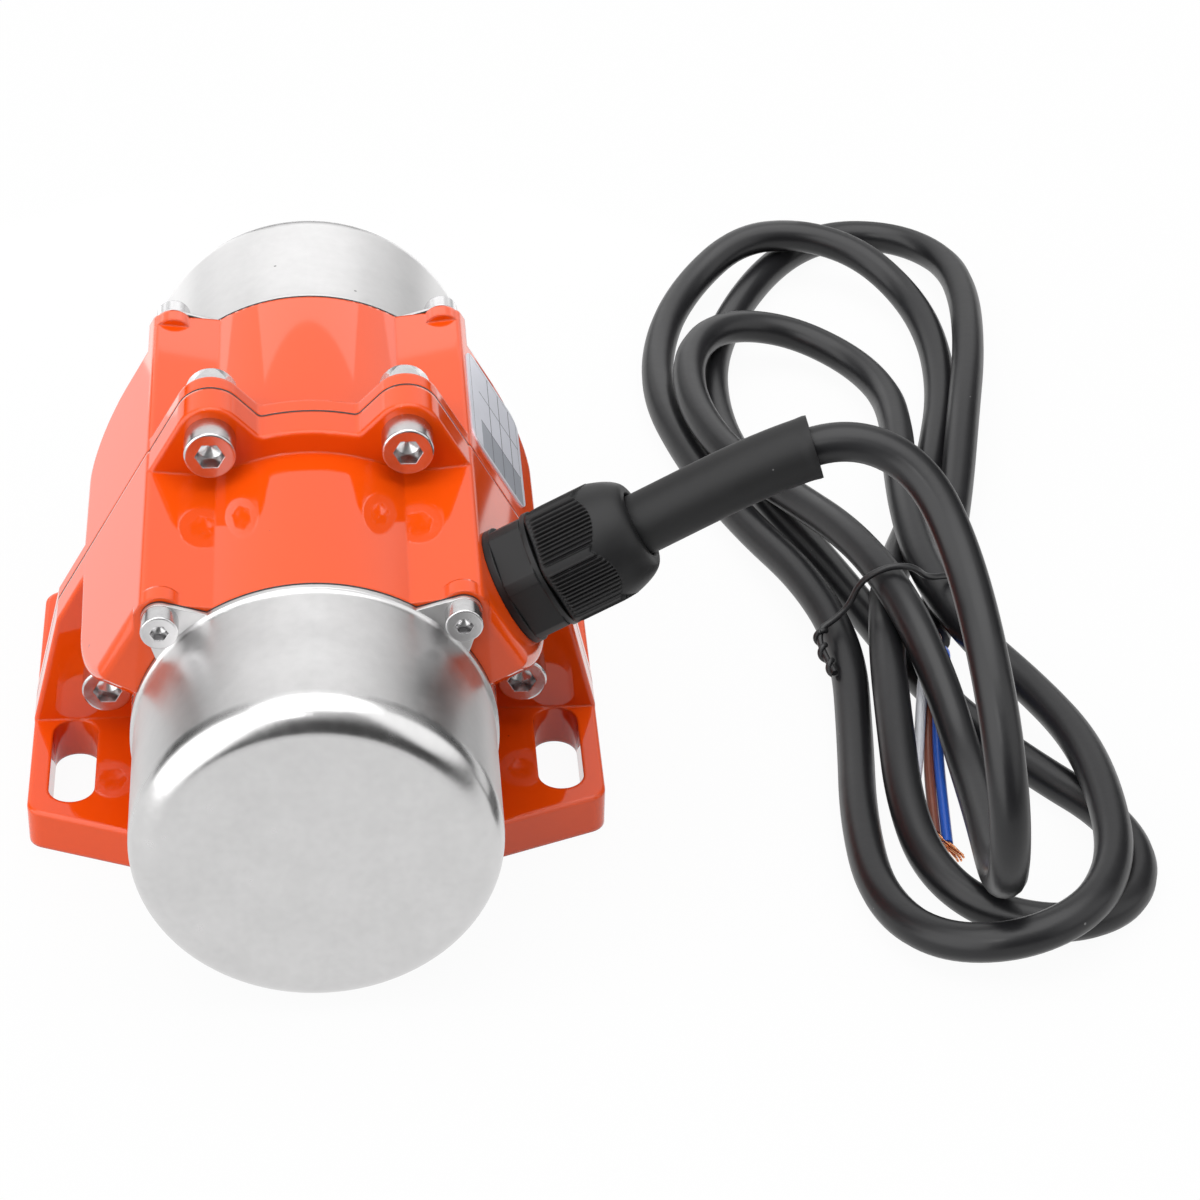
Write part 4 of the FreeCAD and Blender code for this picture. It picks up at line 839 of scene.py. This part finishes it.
def add_camera(scene):
    """The camera's axes: forward is (sin yaw * cos down, cos yaw * cos down, -sin down), right and up are
    square to it, and both roll about it."""
    yaw, down, roll = (math.radians(a) for a in (CAMERA_YAW, CAMERA_DOWN, CAMERA_ROLL))
    forward = Vector((math.sin(yaw) * math.cos(down), math.cos(yaw) * math.cos(down), -math.sin(down)))
    right = Vector((math.cos(yaw), -math.sin(yaw), 0))
    up = right.cross(forward)
    x = right * math.cos(roll) + up * math.sin(roll)
    y = up * math.cos(roll) - right * math.sin(roll)
    data = bpy.data.cameras.new("camera")
    data.lens = CAMERA_LENS
    data.sensor_width = SENSOR_WIDTH
    data.sensor_fit = "HORIZONTAL"
    data.clip_start = 0.01
    camera = bpy.data.objects.new("camera", data)
    turn = Matrix((x, y, -forward)).transposed().to_4x4()
    camera.matrix_world = Matrix.Translation(Vector(CAMERA_AT) * MM) @ turn
    scene.collection.objects.link(camera)
    scene.camera = camera


def add_floor():
    """A plain white table top, whose front edge lies before the motor: the camera and reflections see its
    white with a share of the shadow, diffuse light only a grey bounce."""
    floor = mesh_object("floor", FLOOR_CORNERS, [np.array([[0, 1, 2, 3]])])
    material = bpy.data.materials.new("white floor")
    material.use_nodes = True
    tree = material.node_tree
    tree.nodes.clear()
    diffuse = node(tree, "ShaderNodeBsdfDiffuse")
    diffuse.inputs["Color"].default_value = (FLOOR_GREY, FLOOR_GREY, FLOOR_GREY, 1)
    white = node(tree, "ShaderNodeEmission")
    path = node(tree, "ShaderNodeLightPath")
    seen = math_node(tree, "MAXIMUM", path.outputs["Is Camera Ray"], path.outputs["Is Glossy Ray"])
    share = math_node(tree, "MULTIPLY", seen, FLOOR_WHITE)
    mix = node(tree, "ShaderNodeMixShader")
    tree.links.new(share, mix.inputs[0])
    tree.links.new(diffuse.outputs[0], mix.inputs[1])
    tree.links.new(white.outputs[0], mix.inputs[2])
    out = node(tree, "ShaderNodeOutputMaterial")
    tree.links.new(mix.outputs[0], out.inputs["Surface"])
    floor.data.materials.append(material)


def add_lamp(name, place, aim, width, height, power):
    """A soft rectangular lamp at a place, turned to face its aim, and left out of the picture itself."""
    data = bpy.data.lights.new(name, "AREA")
    data.shape = "RECTANGLE"
    data.size = width
    data.size_y = height
    data.energy = power
    lamp = bpy.data.objects.new(name, data)
    lamp.location = place
    way = Vector(aim) - Vector(place)
    lamp.rotation_euler = way.to_track_quat("-Z", "Y").to_euler()
    lamp.visible_camera = False
    bpy.context.scene.collection.objects.link(lamp)


def step_node(tree, value, low, high):
    """A soft step of an angle in radians, from nought at low to one at high, which are in degrees."""
    made = node(tree, "ShaderNodeMapRange", interpolation_type="SMOOTHSTEP")
    made.inputs["From Min"].default_value = math.radians(low)
    made.inputs["From Max"].default_value = math.radians(high)
    tree.links.new(value, made.inputs["Value"])
    return made.outputs["Result"]


def add_world(scene):
    """White to the camera. To all else a dim room, brighter overhead, with light boxes: each is the
    product of soft steps of the bearing atan2(x, y) and of the height asin(z)."""
    world = bpy.data.worlds.new("studio")
    world.use_nodes = True
    tree = world.node_tree
    tree.nodes.clear()
    place = node(tree, "ShaderNodeTexCoord")
    parts = node(tree, "ShaderNodeSeparateXYZ")
    tree.links.new(place.outputs["Generated"], parts.inputs[0])
    bearing = math_node(tree, "ARCTAN2", parts.outputs["X"], parts.outputs["Y"])
    height = math_node(tree, "ARCSINE", parts.outputs["Z"])
    overhead = math_node(tree, "MULTIPLY", step_node(tree, height, *ROOM_RISE), ROOM_HIGH)
    level = math_node(tree, "ADD", overhead, ROOM_LOW)
    for first, last, lowest, highest, soft, power in LIGHT_BOXES:
        box = None
        edges = ((bearing, first, 1), (bearing, last, -1), (height, lowest, 1), (height, highest, -1))
        for value, edge, sign in edges:
            part = step_node(tree, value, edge - soft, edge + soft)
            if sign < 0:
                part = math_node(tree, "SUBTRACT", 1.0, part)
            box = part if box is None else math_node(tree, "MULTIPLY", box, part)
        level = math_node(tree, "MAXIMUM", level, math_node(tree, "MULTIPLY", box, power))
    room = node(tree, "ShaderNodeBackground")
    tree.links.new(level, room.inputs["Color"])
    white = node(tree, "ShaderNodeBackground")
    white.inputs["Color"].default_value = (1, 1, 1, 1)
    path = node(tree, "ShaderNodeLightPath")
    mix = node(tree, "ShaderNodeMixShader")
    tree.links.new(path.outputs["Is Camera Ray"], mix.inputs[0])
    tree.links.new(room.outputs[0], mix.inputs[1])
    tree.links.new(white.outputs[0], mix.inputs[2])
    out = node(tree, "ShaderNodeOutputWorld")
    tree.links.new(mix.outputs[0], out.inputs["Surface"])
    scene.world = world


# Panel and registration

class MOTOR_PT_panel(bpy.types.Panel):
    """The settings, and a button for each operator"""
    bl_idname = "MOTOR_PT_panel"
    bl_label = "Vibration motor"
    bl_space_type = "VIEW_3D"
    bl_region_type = "UI"
    bl_category = "Motor"

    def draw(self, context):
        scene = context.scene
        for settings in (scene.motor_paint, scene.motor_steel, scene.motor_cable):
            box = self.layout.box()
            for key in settings.bl_rna.properties.keys():
                if key not in ("rna_type", "name"):
                    box.prop(settings, key)
        for operator in OPERATORS:
            self.layout.operator(operator.bl_idname)


SETTINGS = (("motor_paint", MotorPaint), ("motor_steel", MotorSteel), ("motor_cable", MotorCable))
OPERATORS = (MOTOR_OT_stage, MOTOR_OT_cable, MOTOR_OT_gland, MOTOR_OT_housing, MOTOR_OT_caps,
             MOTOR_OT_fasteners, MOTOR_OT_plate, MOTOR_OT_inside)


def register():
    """Adds the settings, the operators and the panel."""
    for name, group in SETTINGS:
        bpy.utils.register_class(group)
        setattr(bpy.types.Scene, name, bpy.props.PointerProperty(type=group))
    for operator in OPERATORS:
        bpy.utils.register_class(operator)
    bpy.utils.register_class(MOTOR_PT_panel)


def unregister():
    """Takes them away again, last first."""
    bpy.utils.unregister_class(MOTOR_PT_panel)
    for operator in reversed(OPERATORS):
        bpy.utils.unregister_class(operator)
    for name, group in reversed(SETTINGS):
        delattr(bpy.types.Scene, name)
        bpy.utils.unregister_class(group)


def main():
    register()
    for operator in OPERATORS:
        area, name = operator.bl_idname.split(".")
        getattr(getattr(bpy.ops, area), name)()


if __name__ == "__main__":
    main()
